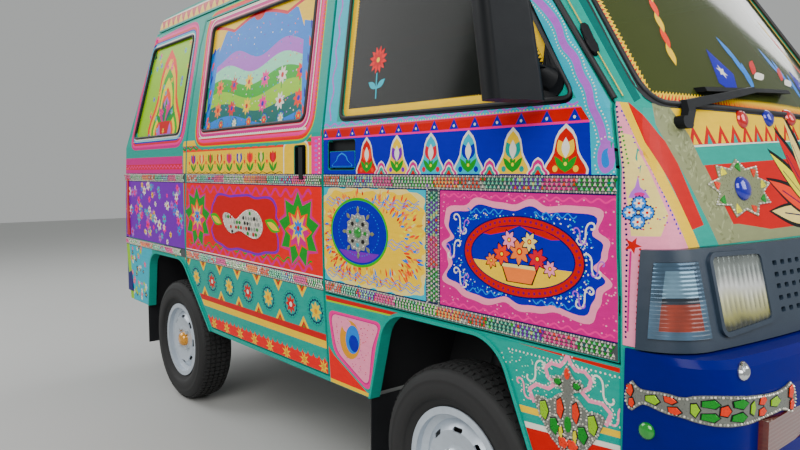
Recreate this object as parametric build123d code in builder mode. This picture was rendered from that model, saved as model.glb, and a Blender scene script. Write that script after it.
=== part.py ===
from build123d import *
import os
from math import cos, radians, sin

# A cab-over microvan, in millimetres: nose towards -Y, the vehicle's right side towards -X, ground at Z 0.
# Lengths called "aft" are measured back from the front axle.

# Driving dimensions
overall_length = 3260
front_overhang = 755
wheelbase = 1810
front_track = 1200
rear_track = 1190
tyre_radius = 276.5
tyre_width = 155
wall = 32
shut_gap = 5
seat_gap = 0.3
glass_thickness = 5
glass_setback = 7

front_axle_y = front_overhang - overall_length / 2
rear_axle_aft = wheelbase
axle_height = tyre_radius
body_reach = 800

# Heights of the body's own lines
sill_bottom = 384
floor_top = 500
floor_thickness = 25
door_bottom = 672
sliding_bottom = 400
surround_bottom = 716
surround_top = 906
belt = 1178
door_top = 1690
gutter_height = 1722
roof_crown = 1870

# Plan sections of the body.
# Each: height, half width, nose aft, bow of the nose, nose corner, tail aft, tail corner
plan_sections = [
    (sill_bottom, 671, -655, 70, 100, 2455, 60),
    (surround_bottom - 6, 690, -672, 70, 105, 2452, 60),
    (surround_top, 693, -628, 72, 100, 2440, 60),
    (belt, 691, -560, 75, 90, 2412, 60),
    (gutter_height, 618, -190, 66, 80, 2132, 60),
]
tail_bow = 18

# Roof cross sections, each: aft, crown height, shoulder height above the gutter, shoulder radius
roof_sections = [
    (-260, roof_crown - 118, 14, 12),
    (60, roof_crown - 40, 66, 50),
    (420, roof_crown - 6, 92, 75),
    (1150, roof_crown, 98, 80),
    (2190, roof_crown - 22, 84, 70),
]
roof_half_width = 606
roof_thickness = 24


def ground_plane(height):
    return Plane(origin=(0, front_axle_y, height), x_dir=(1, 0, 0), z_dir=(0, 0, 1))


def side_plane(offset=0):
    return Plane(origin=(offset, front_axle_y, 0), x_dir=(0, 1, 0), z_dir=(1, 0, 0))


def plan_outline(section, inset):
    height, half, nose, bow, nose_corner, tail, tail_corner = section
    half, nose, tail = half - inset, nose + inset, tail - inset
    with BuildSketch(ground_plane(height)) as outline:
        with BuildLine():
            ThreePointArc((-half, nose + bow), (0, nose), (half, nose + bow))
            Line((half, nose + bow), (half, tail - tail_bow))
            ThreePointArc((half, tail - tail_bow), (0, tail), (-half, tail - tail_bow))
            Line((-half, tail - tail_bow), (-half, nose + bow))
        make_face()
        fillet(outline.vertices().sort_by(Axis.Y)[:2], nose_corner - inset * 0.8)
        fillet(outline.vertices().sort_by(Axis.Y)[-2:], tail_corner - inset * 0.8)
    return outline.sketch


def hull(inset):
    with BuildPart() as body:
        loft(sections=[plan_outline(section, inset) for section in plan_sections], ruled=True)
    return body.part


def side_prism(points, radius, inset=0, near=-300, far=-900, top_only=False):
    with BuildPart() as prism:
        with BuildSketch(side_plane(near)) as outline:
            with BuildLine():
                Polyline(*points, close=True)
            make_face()
            if radius and top_only:
                fillet(outline.vertices().sort_by(Axis.Y)[-2:], radius)
            elif radius:
                fillet(outline.vertices(), radius)
            if inset:
                offset(amount=-inset, kind=Kind.INTERSECTION)
        extrude(amount=far - near)
    return prism.part


def arch_prism(points, radius, inset=0, near=-300, far=-900):
    """Only an arch's two upper corners are rounded."""
    return side_prism(points, radius, inset, near, far, top_only=True)


def band(aft_low, aft_high, low, high, near=-300, far=-900):
    corners = [(aft_low, low), (aft_high, low), (aft_high, high), (aft_low, high)]
    return side_prism(corners, 0, near=near, far=far)


# Wheel arches, aft and height
front_arch = [(335, 300), (335, sill_bottom), (245, 660), (-165, 660), (-270, sill_bottom), (-270, 300)]
rear_arch = [
    (1452, 300),
    (1452, sill_bottom),
    (1690, 664),
    (2075, 664),
    (2160, sill_bottom),
    (2160, 300),
]
arch_corner = 110
arch_lip = 26
lip_width = 10
lip_stand = 5
lip_depth = 12
front_housing = [(372, 300), (372, sill_bottom), (280, 664), (-235, 664), (-325, sill_bottom), (-325, 300)]
rear_housing = [(1440, 300), (1440, sill_bottom), (1660, 664), (2090, 664), (2180, sill_bottom), (2180, 300)]
housing_corner = 60
liner = 4
front_housing_inner = 330
rear_housing_inner = 440

# Panel outlines seen from the side, aft and height
front_door_outline = [
    (-492, door_bottom),
    (-490, 804),
    (-476, 1060),
    (-455, 1190),
    (-291, 1420),
    (-94, door_top),
    (552, door_top),
    (552, door_bottom),
]
sliding_door_outline = [
    (552, sliding_bottom),
    (552, door_top),
    (1528, door_top),
    (1566, 1572),
    (1590, 1350),
    (1640, 713),
    (1640, sliding_bottom),
]
front_end_outline = [
    (-800, 300),
    (-492, 300),
    (-492, door_bottom),
    (-490, 804),
    (-476, 1060),
    (-455, 1190),
    (-291, 1420),
    (-71, gutter_height),
    (-71, 1800),
    (-800, 1800),
]
door_window = [(-368, 1207), (462, 1215), (467, 1655), (-62, 1655)]
sliding_window = [(668, 1222), (1462, 1222), (1444, 1648), (668, 1648)]
quarter_window = [(1700, 1222), (2268, 1222), (2110, 1648), (1640, 1648)]
window_corner = 30

shell_outer = hull(0)
shell_inner = hull(wall)
pillar_inner = hull(wall + 40)
stop_face = hull(wall + shut_gap)
glass_outer = hull(glass_setback)
glass_inner = hull(glass_setback + glass_thickness)
trim_outer = hull(-14)
trim_inner = hull(-seat_gap)

tailgate_bottom = 640
tailgate_top = gutter_height
tailgate_outline = [
    (-596, tailgate_bottom),
    (-590, belt),
    (-545, 1800),
    (545, 1800),
    (590, belt),
    (596, tailgate_bottom),
]
tailgate_leaf = [
    (-596, tailgate_bottom),
    (-590, belt),
    (-550, tailgate_top),
    (550, tailgate_top),
    (590, belt),
    (596, tailgate_bottom),
]
tailgate_window = [(-512, 1240), (-478, 1628), (478, 1628), (512, 1240)]
tail_zone_aft = 1950
tail_zone_end = 2700
bumper_top = 712
bumper_bottom = 400
rear_bumper = (430, 628)
rear_bumper_back = 2505
plate_height = 530
plate_spacing = 180
plate_hole_radius = 3.5


def store(part, name):
    part.label = name
    export_step(part, "parts/" + name + ".step")


def store_pair(part, name):
    """The modelled piece is the right one; its mirror image is the left one."""
    store(part, name + "_right")
    with BuildPart() as other:
        add(part)
        mirror(about=Plane.YZ, mode=Mode.REPLACE)
    store(other.part, name + "_left")


def front_prism(points, radius, inset=0, near=-150, far=-950):
    """A prism along Y from an outline seen from the front: across and height."""
    with BuildPart() as prism:
        start = (0, front_axle_y + near, 0)
        with BuildSketch(Plane(origin=start, x_dir=(1, 0, 0), z_dir=(0, -1, 0))) as outline:
            with BuildLine():
                Polyline(*points, close=True)
            make_face()
            if radius:
                fillet(outline.vertices(), radius)
            if inset:
                offset(amount=-inset, kind=Kind.INTERSECTION)
        extrude(amount=near - far)
    return prism.part


def block(x_low, x_high, aft_low, aft_high, low, high):
    with BuildPart() as solid:
        with BuildSketch(ground_plane(low)):
            with Locations(((x_low + x_high) / 2, (aft_low + aft_high) / 2)):
                Rectangle(x_high - x_low, aft_high - aft_low)
        extrude(amount=high - low)
    return solid.part


os.makedirs("parts", exist_ok=True)

# The fixed side: sill, wing, pillars behind the doors, cant rail and rear corner
side_zone = band(-492, 2500, 300, 1800, near=-540)
tailgate_way = front_prism(tailgate_outline, 0, near=tail_zone_aft, far=tail_zone_end)
front_end_zone = side_prism(front_end_outline, 0, near=-500, far=-950)
inner_bands = [band(500, 604, 300, 1800), band(-492, 2500, 1652, 1800), band(-492, 2500, 300, floor_top)]
housing_clear = [
    arch_prism(front_housing, housing_corner, inset=-liner - seat_gap, near=-300),
    arch_prism(rear_housing, housing_corner, inset=-liner - seat_gap, near=-300),
]
front_doorway = side_prism(front_door_outline, 0)
sliding_doorway = side_prism(sliding_door_outline, 0)
rear_arch_keep = arch_prism(rear_arch, arch_corner, inset=-arch_lip, near=-330)
arches = [arch_prism(arch, arch_corner, near=-330) for arch in (front_arch, rear_arch)]
lip_rings = [arch_prism(arch, arch_corner, inset=-lip_width, near=-330) for arch in (front_arch, rear_arch)]
quarter_opening = side_prism(quarter_window, window_corner, near=-330)

with BuildPart() as hollow:
    add(shell_inner)
    for strip in inner_bands:
        add(strip, mode=Mode.SUBTRACT)
with BuildPart() as housing_room:
    add(shell_inner)
    add(housing_clear[0] + housing_clear[1], mode=Mode.INTERSECT)
with BuildPart() as doorways:
    add(sliding_doorway)
    add(rear_arch_keep, mode=Mode.SUBTRACT)
    add(front_doorway)
    add(stop_face, mode=Mode.SUBTRACT)
with BuildPart() as arch_lips:
    add(hull(-lip_stand))
    add(lip_rings[0] + lip_rings[1], mode=Mode.INTERSECT)
    add(hull(lip_depth), mode=Mode.SUBTRACT)
with BuildPart() as side_frame_right:
    add(shell_outer)
    add(side_zone, mode=Mode.INTERSECT)
    add(front_end_zone, mode=Mode.SUBTRACT)
    add(pillar_inner, mode=Mode.SUBTRACT)
    add(hollow.part, mode=Mode.SUBTRACT)
    add(housing_room.part, mode=Mode.SUBTRACT)
    add(tailgate_way, mode=Mode.SUBTRACT)
    add(doorways.part, mode=Mode.SUBTRACT)
    add(arch_lips.part)
    for arch in arches:
        add(arch, mode=Mode.SUBTRACT)
    add(quarter_opening, mode=Mode.SUBTRACT)
store_pair(side_frame_right.part, "side_frame")

# Front door hinges: pins behind the door skin, held by cranked arms from the front panel
door_pin = (-684, -457)
door_pin_radius = 4
door_hinge_heights = (790, 1080)
hinge_pocket_half = 20
hinge_arm_half = 14
hinge_arm_inner = -642
hinge_arm_front = -520
pin_stand = 12


def door_pin_plane(height):
    return Plane(origin=(door_pin[0], front_axle_y + door_pin[1], height), x_dir=(1, 0, 0), z_dir=(0, 0, 1))


hinge_pockets = []
for height in door_hinge_heights:
    low, high = height - hinge_pocket_half, height + hinge_pocket_half
    hinge_pockets.append(block(door_pin[0] - 5.5, -600, -500, door_pin[1] + pin_stand, low, high))
with BuildPart() as hinge_arms:
    for height in door_hinge_heights:
        low, high = height - hinge_arm_half, height + hinge_arm_half
        pin_front, pin_back = door_pin[1] - door_pin_radius, door_pin[1] + door_pin_radius
        add(block(door_pin[0], hinge_arm_inner, pin_front, pin_back, low, high))
        add(block(hinge_arm_inner - 10, hinge_arm_inner, hinge_arm_front, pin_back, low, high))
        add(block(hinge_arm_inner - 23, hinge_arm_inner, hinge_arm_front, hinge_arm_front + 20, low, high))
        with BuildSketch(door_pin_plane(height - hinge_pocket_half - pin_stand)):
            Circle(door_pin_radius)
        extrude(amount=2 * (hinge_pocket_half + pin_stand))
with BuildPart() as hinge_arms_left:
    add(hinge_arms.part)
    mirror(about=Plane.YZ, mode=Mode.REPLACE)

# Door handles in pockets pressed into the skin, each: aft from and to, height from and to
front_handle = (382, 523, 1060, 1150)
sliding_handle = (650, 722, 1022, 1141)
handle_skin = -691
handle_floor = -677


def handle_pocket(place):
    with BuildPart() as pocket:
        add(block(handle_skin - 20, handle_floor, *place))
        fillet(pocket.edges().filter_by(Axis.X), 12)
    return pocket.part


# Front door: the whole leaf, outer skin to inner trim, with its window cut
front_leaf = side_prism(front_door_outline, 0, inset=shut_gap)
door_opening = side_prism(door_window, window_corner, near=-330)
door_pane = side_prism(door_window, window_corner, inset=seat_gap, near=-330)
with BuildPart() as door_front_right:
    add(shell_outer)
    add(front_leaf, mode=Mode.INTERSECT)
    add(shell_inner, mode=Mode.SUBTRACT)
    add(door_opening, mode=Mode.SUBTRACT)
    for pocket in hinge_pockets:
        add(pocket, mode=Mode.SUBTRACT)
    for height in door_hinge_heights:
        with BuildSketch(door_pin_plane(height - hinge_pocket_half - pin_stand - 1)):
            Circle(door_pin_radius + seat_gap)
        extrude(amount=2 * (hinge_pocket_half + pin_stand + 1), mode=Mode.SUBTRACT)
    add(handle_pocket(front_handle), mode=Mode.SUBTRACT)
    low, high = front_handle[2] + 6, front_handle[3] - 34
    add(block(handle_skin + 2, handle_floor + 1, front_handle[0] + 6, front_handle[1] - 6, low, high))
store_pair(door_front_right.part, "door_front")

with BuildPart() as door_glass_right:
    add(glass_outer)
    add(door_pane, mode=Mode.INTERSECT)
    add(glass_inner, mode=Mode.SUBTRACT)
store_pair(door_glass_right.part, "door_glass")

# Sliding door, cut to follow the rear wheel arch, on rollers in the cant rail and on the sill
roller_aft = 620
roller_length = 46
roller_thickness = 12
top_roller_outer = -612
sill_roller_outer = -662
sliding_leaf = side_prism(sliding_door_outline, 0, inset=shut_gap)
arch_clear = arch_prism(rear_arch, arch_corner, inset=-arch_lip - shut_gap, near=-330)
sliding_opening = side_prism(sliding_window, window_corner, near=-330)
with BuildPart() as sliding_door_right:
    add(shell_outer)
    add(sliding_leaf, mode=Mode.INTERSECT)
    add(shell_inner, mode=Mode.SUBTRACT)
    add(arch_clear, mode=Mode.SUBTRACT)
    add(sliding_opening, mode=Mode.SUBTRACT)
    for outer, low, high in (
        (top_roller_outer, door_top - shut_gap - 1, door_top - seat_gap),
        (sill_roller_outer, sliding_bottom + seat_gap, sliding_bottom + shut_gap + 1),
    ):
        add(block(outer, outer + roller_thickness, roller_aft, roller_aft + roller_length, low, high))
    add(handle_pocket(sliding_handle), mode=Mode.SUBTRACT)
    low, high = sliding_handle[2] + 8, sliding_handle[3] - 8
    add(block(handle_skin - 5, handle_floor + 1, sliding_handle[0] + 16, sliding_handle[0] + 38, low, high))
store_pair(sliding_door_right.part, "sliding_door")

with BuildPart() as side_windows_right:
    add(glass_outer)
    add(side_prism(sliding_window, window_corner, inset=seat_gap, near=-330), mode=Mode.INTERSECT)
    add(glass_inner, mode=Mode.SUBTRACT)
with BuildPart() as quarter_windows_right:
    add(glass_outer)
    add(side_prism(quarter_window, window_corner, inset=seat_gap, near=-330), mode=Mode.INTERSECT)
    add(glass_inner, mode=Mode.SUBTRACT)
with BuildPart() as side_windows:
    add(side_windows_right.part)
    add(quarter_windows_right.part)
    mirror(about=Plane.YZ)
store(side_windows.part, "side_windows")

# Nose, front pillars and windscreen header in one panel
screen_points = [(-612, 1192), (-548, 1674), (548, 1674), (612, 1192)]
screen_corner = 60
lamp_inner, lamp_outer = 400, 565
lamp_outline = [(lamp_inner, 757), (lamp_inner, 886), (lamp_outer, 889), (lamp_outer, 745)]
lamp_corner = 12
lamp_back = -560
corner_lamp_inner = 605
corner_lamp_aft = (-700, -554)
corner_lamp_heights = (741, 883)
screen_opening = front_prism(screen_points, screen_corner)


def lamp_prism(side, inset=0, near=-480):
    return front_prism([(side * across, height) for across, height in lamp_outline], lamp_corner, inset, near)


def corner_lamp_block(side, gap=0):
    x_low, x_high = sorted((side * body_reach, side * (corner_lamp_inner - gap)))
    low, high = corner_lamp_heights
    return block(x_low, x_high, corner_lamp_aft[0], corner_lamp_aft[1] + gap, low - gap, high + gap)


lamp_holes = [lamp_prism(side) for side in (-1, 1)]
with BuildPart() as front_panel:
    add(shell_outer)
    add(side_prism(front_end_outline, 0, near=950, far=-950), mode=Mode.INTERSECT)
    add(shell_inner, mode=Mode.SUBTRACT)
    add(screen_opening, mode=Mode.SUBTRACT)
    for hole in lamp_holes:
        add(hole, mode=Mode.SUBTRACT)
    add(hinge_arms.part)
    add(hinge_arms_left.part)
store(front_panel.part, "front_panel")

with BuildPart() as windscreen:
    add(glass_outer)
    add(front_prism(screen_points, screen_corner, inset=seat_gap), mode=Mode.INTERSECT)
    add(glass_inner, mode=Mode.SUBTRACT)
store(windscreen.part, "windscreen")

# Lamp surround: louvres in rows and columns beside each lamp, and a raised rim round the lamp
louvre_columns, louvre_rows = 4, 5
louvre_pitch = (33, 24)
louvre_size = (17, 10)
louvre_centre = (291, 814)
rim_width = 9
with BuildPart() as lamp_rims:
    add(hull(-20))
    add(lamp_prism(-1, -rim_width) + lamp_prism(1, -rim_width), mode=Mode.INTERSECT)
    add(trim_inner, mode=Mode.SUBTRACT)
with BuildPart() as grille_panel:
    add(trim_outer)
    add(block(-body_reach, body_reach, -900, -530, surround_bottom, surround_top), mode=Mode.INTERSECT)
    add(trim_inner, mode=Mode.SUBTRACT)
    add(lamp_rims.part)
    for hole in lamp_holes:
        add(hole, mode=Mode.SUBTRACT)
    for side in (-1, 1):
        add(corner_lamp_block(side, seat_gap), mode=Mode.SUBTRACT)
        centre = (side * louvre_centre[0], front_axle_y - 600, louvre_centre[1])
        with BuildSketch(Plane(origin=centre, x_dir=(1, 0, 0), z_dir=(0, -1, 0))):
            with GridLocations(*louvre_pitch, louvre_columns, louvre_rows):
                RectangleRounded(*louvre_size, 3)
        extrude(amount=120, mode=Mode.SUBTRACT)
store(grille_panel.part, "grille_panel")

# Headlamps: bowls let through the panel, each with a lens that follows the nose
with BuildPart() as headlamps:
    add(hull(-17))
    add(lamp_prism(-1, seat_gap) + lamp_prism(1, seat_gap), mode=Mode.INTERSECT)
    add(block(-body_reach, body_reach, lamp_back, 0, 600, 1000), mode=Mode.SUBTRACT)
store(headlamps.part, "headlamps")

# Front bumper, wrapped round the corners, its top edge rolled back
bumper_half = 697
bumper_back = -505
bumper_bow = 65
bumper_corner = 110
bumper_lamp_across = 472
bumper_lamp_half = 108
bumper_lamp_heights = (535, 600)
bumper_lamp_aft = (-728, -700)
# Each bumper section: height, how far its front is set back
bumper_sections = [
    (bumper_bottom, 12),
    (bumper_bottom + 28, 0),
    (bumper_top - 62, 0),
    (bumper_top - 14, 12),
    (bumper_top, 30),
]


def bumper_outline(height, inset):
    front = -front_overhang + inset
    with BuildSketch(ground_plane(height)) as outline:
        with BuildLine():
            ThreePointArc((-bumper_half, front + bumper_bow), (0, front), (bumper_half, front + bumper_bow))
            Line((bumper_half, front + bumper_bow), (bumper_half, bumper_back))
            Line((bumper_half, bumper_back), (-bumper_half, bumper_back))
            Line((-bumper_half, bumper_back), (-bumper_half, front + bumper_bow))
        make_face()
        fillet(outline.vertices().sort_by(Axis.Y)[:2], bumper_corner)
    return outline.sketch


def bumper_lamp(side, gap, front, back):
    centre, half = side * bumper_lamp_across, bumper_lamp_half - gap
    low, high = bumper_lamp_heights
    return block(centre - half, centre + half, front, back, low + gap, high - gap)


with BuildPart() as bumper_front:
    loft(sections=[bumper_outline(height, inset) for height, inset in bumper_sections], ruled=True)
    add(trim_inner, mode=Mode.SUBTRACT)
    for side in (-1, 1):
        add(bumper_lamp(side, 0, -body_reach, bumper_lamp_aft[1]), mode=Mode.SUBTRACT)
store(bumper_front.part, "bumper_front")

with BuildPart() as front_indicators:
    add(hull(-18))
    add(corner_lamp_block(-1) + corner_lamp_block(1), mode=Mode.INTERSECT)
    add(trim_inner, mode=Mode.SUBTRACT)
    for side in (-1, 1):
        add(bumper_lamp(side, seat_gap, bumper_lamp_aft[0], bumper_lamp_aft[1] - seat_gap))
store(front_indicators.part, "front_indicators")

# Rear bumper
with BuildPart() as bumper_rear:
    add(block(-680, 680, 2380, rear_bumper_back, *rear_bumper))
    fillet(bumper_rear.edges().filter_by(Axis.Z).sort_by(Axis.Y)[-2:], 70)
    add(trim_inner, mode=Mode.SUBTRACT)
    plate_centre = (0, front_axle_y + rear_bumper_back, plate_height)
    with BuildSketch(Plane(origin=plate_centre, x_dir=(1, 0, 0), z_dir=(0, -1, 0))):
        with GridLocations(plate_spacing, 1, 2, 1):
            Circle(plate_hole_radius)
    extrude(amount=20, mode=Mode.SUBTRACT)
store(bumper_rear.part, "bumper_rear")

# Tail: lower panel, lamps and the tailgate with its window
with BuildPart() as rear_panel:
    add(shell_outer)
    add(block(-540, 540, 2200, 2600, sill_bottom, tailgate_bottom), mode=Mode.INTERSECT)
    add(shell_inner, mode=Mode.SUBTRACT)
store(rear_panel.part, "rear_panel")

tail_lamp_inner = 606
tail_lamp_heights = (730, 1020)
tail_lamp_zones = [
    block(*sorted((side * body_reach, side * tail_lamp_inner)), 2350, 2600, *tail_lamp_heights)
    for side in (-1, 1)
]
with BuildPart() as tail_lamps:
    add(hull(-7))
    add(tail_lamp_zones[0] + tail_lamp_zones[1], mode=Mode.INTERSECT)
    add(trim_inner, mode=Mode.SUBTRACT)
store(tail_lamps.part, "tail_lamps")

# Each tailgate hinge: a fixed middle knuckle and pin on the roof, two turning knuckles on the leaf
tailgate_pin = (2139, 1717)
tailgate_hinges = (-340, 340)
knuckle_radius = 6
pin_radius = 3
knuckle_half = 10
knuckle_length = 18
knuckle_gap = 3
pin_half = 30


def pin_line(x):
    centre = (x, front_axle_y + tailgate_pin[0], tailgate_pin[1])
    return Plane(origin=centre, x_dir=(0, 1, 0), z_dir=(1, 0, 0))


rear_window_opening = front_prism(tailgate_window, window_corner, near=tail_zone_aft, far=tail_zone_end)
hinge_notch = block(-knuckle_half - 2, knuckle_half + 2, 2120, 2160, 1703, 1730)
with BuildPart() as tailgate:
    add(shell_outer)
    add(front_prism(tailgate_leaf, 0, shut_gap, tail_zone_aft, tail_zone_end), mode=Mode.INTERSECT)
    add(shell_inner, mode=Mode.SUBTRACT)
    add(rear_window_opening, mode=Mode.SUBTRACT)
    for x in tailgate_hinges:
        add(hinge_notch.moved(Location((x, 0, 0))), mode=Mode.SUBTRACT)
        for start in (x - knuckle_half - knuckle_gap - knuckle_length, x + knuckle_half + knuckle_gap):
            with BuildSketch(pin_line(start)):
                Circle(knuckle_radius)
            extrude(amount=knuckle_length)
            with BuildSketch(pin_line(start)):
                with Locations((-2, -12)):
                    Rectangle(8, 24)
            extrude(amount=knuckle_length)
        with BuildSketch(pin_line(x - pin_half - 10)):
            Circle(pin_radius + seat_gap)
        extrude(amount=2 * (pin_half + 10), mode=Mode.SUBTRACT)
store(tailgate.part, "tailgate")

rear_pane = front_prism(tailgate_window, window_corner, seat_gap, tail_zone_aft, tail_zone_end)
with BuildPart() as tailgate_glass:
    add(glass_outer)
    add(rear_pane, mode=Mode.INTERSECT)
    add(glass_inner, mode=Mode.SUBTRACT)
store(tailgate_glass.part, "tailgate_glass")


def roof_loft(inset, bottom):
    faces = []
    for aft, crown, shoulder, radius in roof_sections:
        half = roof_half_width - inset
        side_top = max(gutter_height + shoulder - inset, bottom + 1)
        cut = Plane(origin=(0, front_axle_y + aft, 0), x_dir=(1, 0, 0), z_dir=(0, -1, 0))
        with BuildSketch(cut) as section:
            with BuildLine():
                Line((-half, bottom), (half, bottom))
                Line((half, bottom), (half - 6, side_top))
                ThreePointArc((half - 6, side_top), (0, crown - inset), (6 - half, side_top))
                Line((6 - half, side_top), (-half, bottom))
            make_face()
            fillet(section.vertices().sort_by(Axis.Y)[-2:], radius)
        faces.append(section.sketch)
    with BuildPart() as solid:
        loft(sections=faces)
    return solid.part


roof_rise = roof_crown + 30 - gutter_height
screen_slope = (plan_sections[4][2] - plan_sections[3][2]) / (gutter_height - belt)
tail_slope = (plan_sections[4][5] - plan_sections[3][5]) / (gutter_height - belt)
roof_low = (gutter_height, 640, plan_sections[4][2], 66, 80, plan_sections[4][5], 60)
roof_high = (
    gutter_height + roof_rise,
    640,
    roof_low[2] + roof_rise * screen_slope,
    66,
    80,
    roof_low[5] + roof_rise * tail_slope,
    60,
)


def roof_limit(inset):
    with BuildPart() as solid:
        loft(sections=[plan_outline(row, inset) for row in (roof_low, roof_high)], ruled=True)
    return solid.part


roof_outer = roof_loft(0, gutter_height)
roof_inner = roof_loft(roof_thickness, gutter_height - 20)
roof_mouth = block(-560, 560, -150, 2098, gutter_height - 19, gutter_height)
with BuildPart() as roof_room:
    add(roof_inner)
    add(roof_limit(roof_thickness) + roof_mouth, mode=Mode.INTERSECT)
with BuildPart() as roof:
    add(roof_outer)
    add(roof_limit(0), mode=Mode.INTERSECT)
    add(roof_room.part, mode=Mode.SUBTRACT)
    for s in (-1, 1):
        x_low, x_high = sorted((s * 604, s * 625))
        add(block(x_low, x_high, -60, 2060, gutter_height, gutter_height + 8))
    for x in tailgate_hinges:
        with BuildSketch(pin_line(x - knuckle_half)):
            Circle(knuckle_radius)
        extrude(amount=2 * knuckle_half)
        with BuildSketch(pin_line(x - pin_half)):
            Circle(pin_radius)
        extrude(amount=2 * pin_half)
        plate_back = tailgate_pin[0] + 2
        add(block(x - knuckle_half, x + knuckle_half, 2112, plate_back, gutter_height, gutter_height + 7))
store(roof.part, "roof")

# Floor sheets, the wheel housings let into them, and the chassis frame under them
liners_outer = []
liners_inner = []
for outline, inner in ((front_housing, front_housing_inner), (rear_housing, rear_housing_inner)):
    liners_outer.append(arch_prism(outline, housing_corner, inset=-liner, near=-inner + liner, far=-720))
    liners_inner.append(arch_prism(outline, housing_corner, near=-inner, far=-720))
floor_bottom = floor_top - floor_thickness
rail_inner, rail_outer = 262, 322
rail_bottom = 400
member_bottom = 410
rails = [
    block(*sorted((side * rail_inner, side * rail_outer)), -540, 2380, rail_bottom, floor_bottom)
    for side in (-1, 1)
]
cross_members = [
    block(-rail_inner, rail_inner, aft, aft + 60, member_bottom, floor_bottom)
    for aft in (-500, 820, 1400, 2150)
]
floor_hole = block(-230, 230, 90, 740, 450, 520)
with BuildPart() as floor_sheet:
    add(hull(wall + 40 + seat_gap))
    add(block(-body_reach, body_reach, -800, 2500, floor_bottom, floor_top), mode=Mode.INTERSECT)
with BuildPart() as toe_sheet:
    add(hull(wall + seat_gap))
    add(block(-body_reach, body_reach, -800, -497, floor_bottom, floor_top), mode=Mode.INTERSECT)
with BuildPart() as tail_sheet:
    add(hull(wall + seat_gap))
    add(block(-535, 535, 2300, 2500, floor_bottom, floor_top), mode=Mode.INTERSECT)
with BuildPart() as wheel_housings:
    add(hull(wall + seat_gap))
    add(liners_outer[0] + liners_outer[1], mode=Mode.INTERSECT)
    add(block(-800, 0, -800, 2500, sill_bottom, 700), mode=Mode.INTERSECT)
    for solid in liners_inner:
        add(solid, mode=Mode.SUBTRACT)
    mirror(about=Plane.YZ)
store(wheel_housings.part, "wheel_housings")

deck_outline = (-425, 425, 800, 2240)
deck_rise = 4
with BuildPart() as floor_pan:
    add(floor_sheet.part)
    add(block(*deck_outline, floor_top - 1, floor_top + deck_rise))
    add(toe_sheet.part)
    add(tail_sheet.part)
    for solid in liners_outer:
        add(solid, mode=Mode.SUBTRACT)
        add(mirror(solid, about=Plane.YZ, mode=Mode.PRIVATE), mode=Mode.SUBTRACT)
    add(floor_hole, mode=Mode.SUBTRACT)
store(floor_pan.part, "floor_pan")

with BuildPart() as chassis_frame:
    for solid in rails + cross_members:
        add(solid)
store(chassis_frame.part, "chassis_frame")

# Engine block under the seats, with the box over it that carries them
engine_back = 700
with BuildPart() as engine:
    add(block(-200, 200, 110, engine_back, 235, 620))
    fillet(engine.edges().filter_by(Axis.Y), 30)
store(engine.part, "engine")

seat_height = 760
with BuildPart() as seat_box:
    add(block(-300, 300, 60, 770, floor_top, seat_height))
    add(block(-290, 290, 70, 760, floor_top, seat_height - 10), mode=Mode.SUBTRACT)
    add(block(-580, 580, 60, 600, seat_height - 15, seat_height))
    for s in (-1, 1):
        x_low, x_high = sorted((s * 560, s * 580))
        add(block(x_low, x_high, 60, 240, 664 + liner + seat_gap, seat_height))
store(seat_box.part, "seat_box")

seat_foot = seat_height + seat_gap
seat_profile = [
    (110, seat_foot),
    (95, 850),
    (130, 875),
    (500, 862),
    (592, 1290),
    (640, 1300),
    (668, 1285),
    (590, 860),
    (588, seat_foot),
]
with BuildPart() as seats:
    for s in (-1, 1):
        with BuildSketch(side_plane(s * 330 - 220)) as cushion:
            with BuildLine():
                Polyline(*seat_profile, close=True)
            make_face()
        extrude(amount=440)
store(seats.part, "seats")

# Dashboard, steering wheel and column on the vehicle's right
dash_low, dash_high = 895, 1080
with BuildPart() as dash_core:
    add(hull(wall + 26))
    add(block(-body_reach, body_reach, -600, -270, dash_low, dash_high), mode=Mode.INTERSECT)
with BuildPart() as dash_nose:
    add(hull(wall + seat_gap))
    add(block(-body_reach, body_reach, -700, -500, dash_low, dash_high), mode=Mode.INTERSECT)
with BuildPart() as binnacle:
    add(block(-445, -215, -500, -352, dash_high - 60, dash_high + 46))
    fillet(binnacle.edges().filter_by(Axis.Y).sort_by(Axis.Z)[-2:], 24)
with BuildPart() as dashboard:
    add(dash_core.part)
    add(dash_nose.part)
    add(binnacle.part)
store(dashboard.part, "dashboard")

wheel_x = -330
wheel_centre = (wheel_x, front_axle_y - 110, 1030)
column_tilt = 25
column_plane = Plane(
    origin=wheel_centre,
    x_dir=(1, 0, 0),
    z_dir=(0, sin(radians(column_tilt)), cos(radians(column_tilt))),
)
column_length = (wheel_centre[2] - floor_top) / cos(radians(column_tilt))
rim_plane = Plane(
    origin=wheel_centre,
    x_dir=(1, 0, 0),
    z_dir=(0, -cos(radians(column_tilt)), sin(radians(column_tilt))),
)
with BuildPart() as steering_wheel:
    with BuildSketch(rim_plane):
        with Locations((186, 0)):
            Circle(12)
    revolve(axis=Axis(wheel_centre, column_plane.z_dir))
    with BuildSketch(column_plane.offset(-30)):
        Circle(45)
    extrude(amount=35)
    with BuildSketch(column_plane.offset(-8)):
        for turn in (90, 200, 340):
            with PolarLocations(95, 1, start_angle=turn):
                Rectangle(190, 26)
    extrude(amount=14)
    with BuildSketch(column_plane.offset(-20)):
        Circle(26)
    extrude(amount=-(column_length + 20))
    add(block(-600, 0, -700, 200, 300, floor_top + seat_gap), mode=Mode.SUBTRACT)
store(steering_wheel.part, "steering_wheel")

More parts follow.
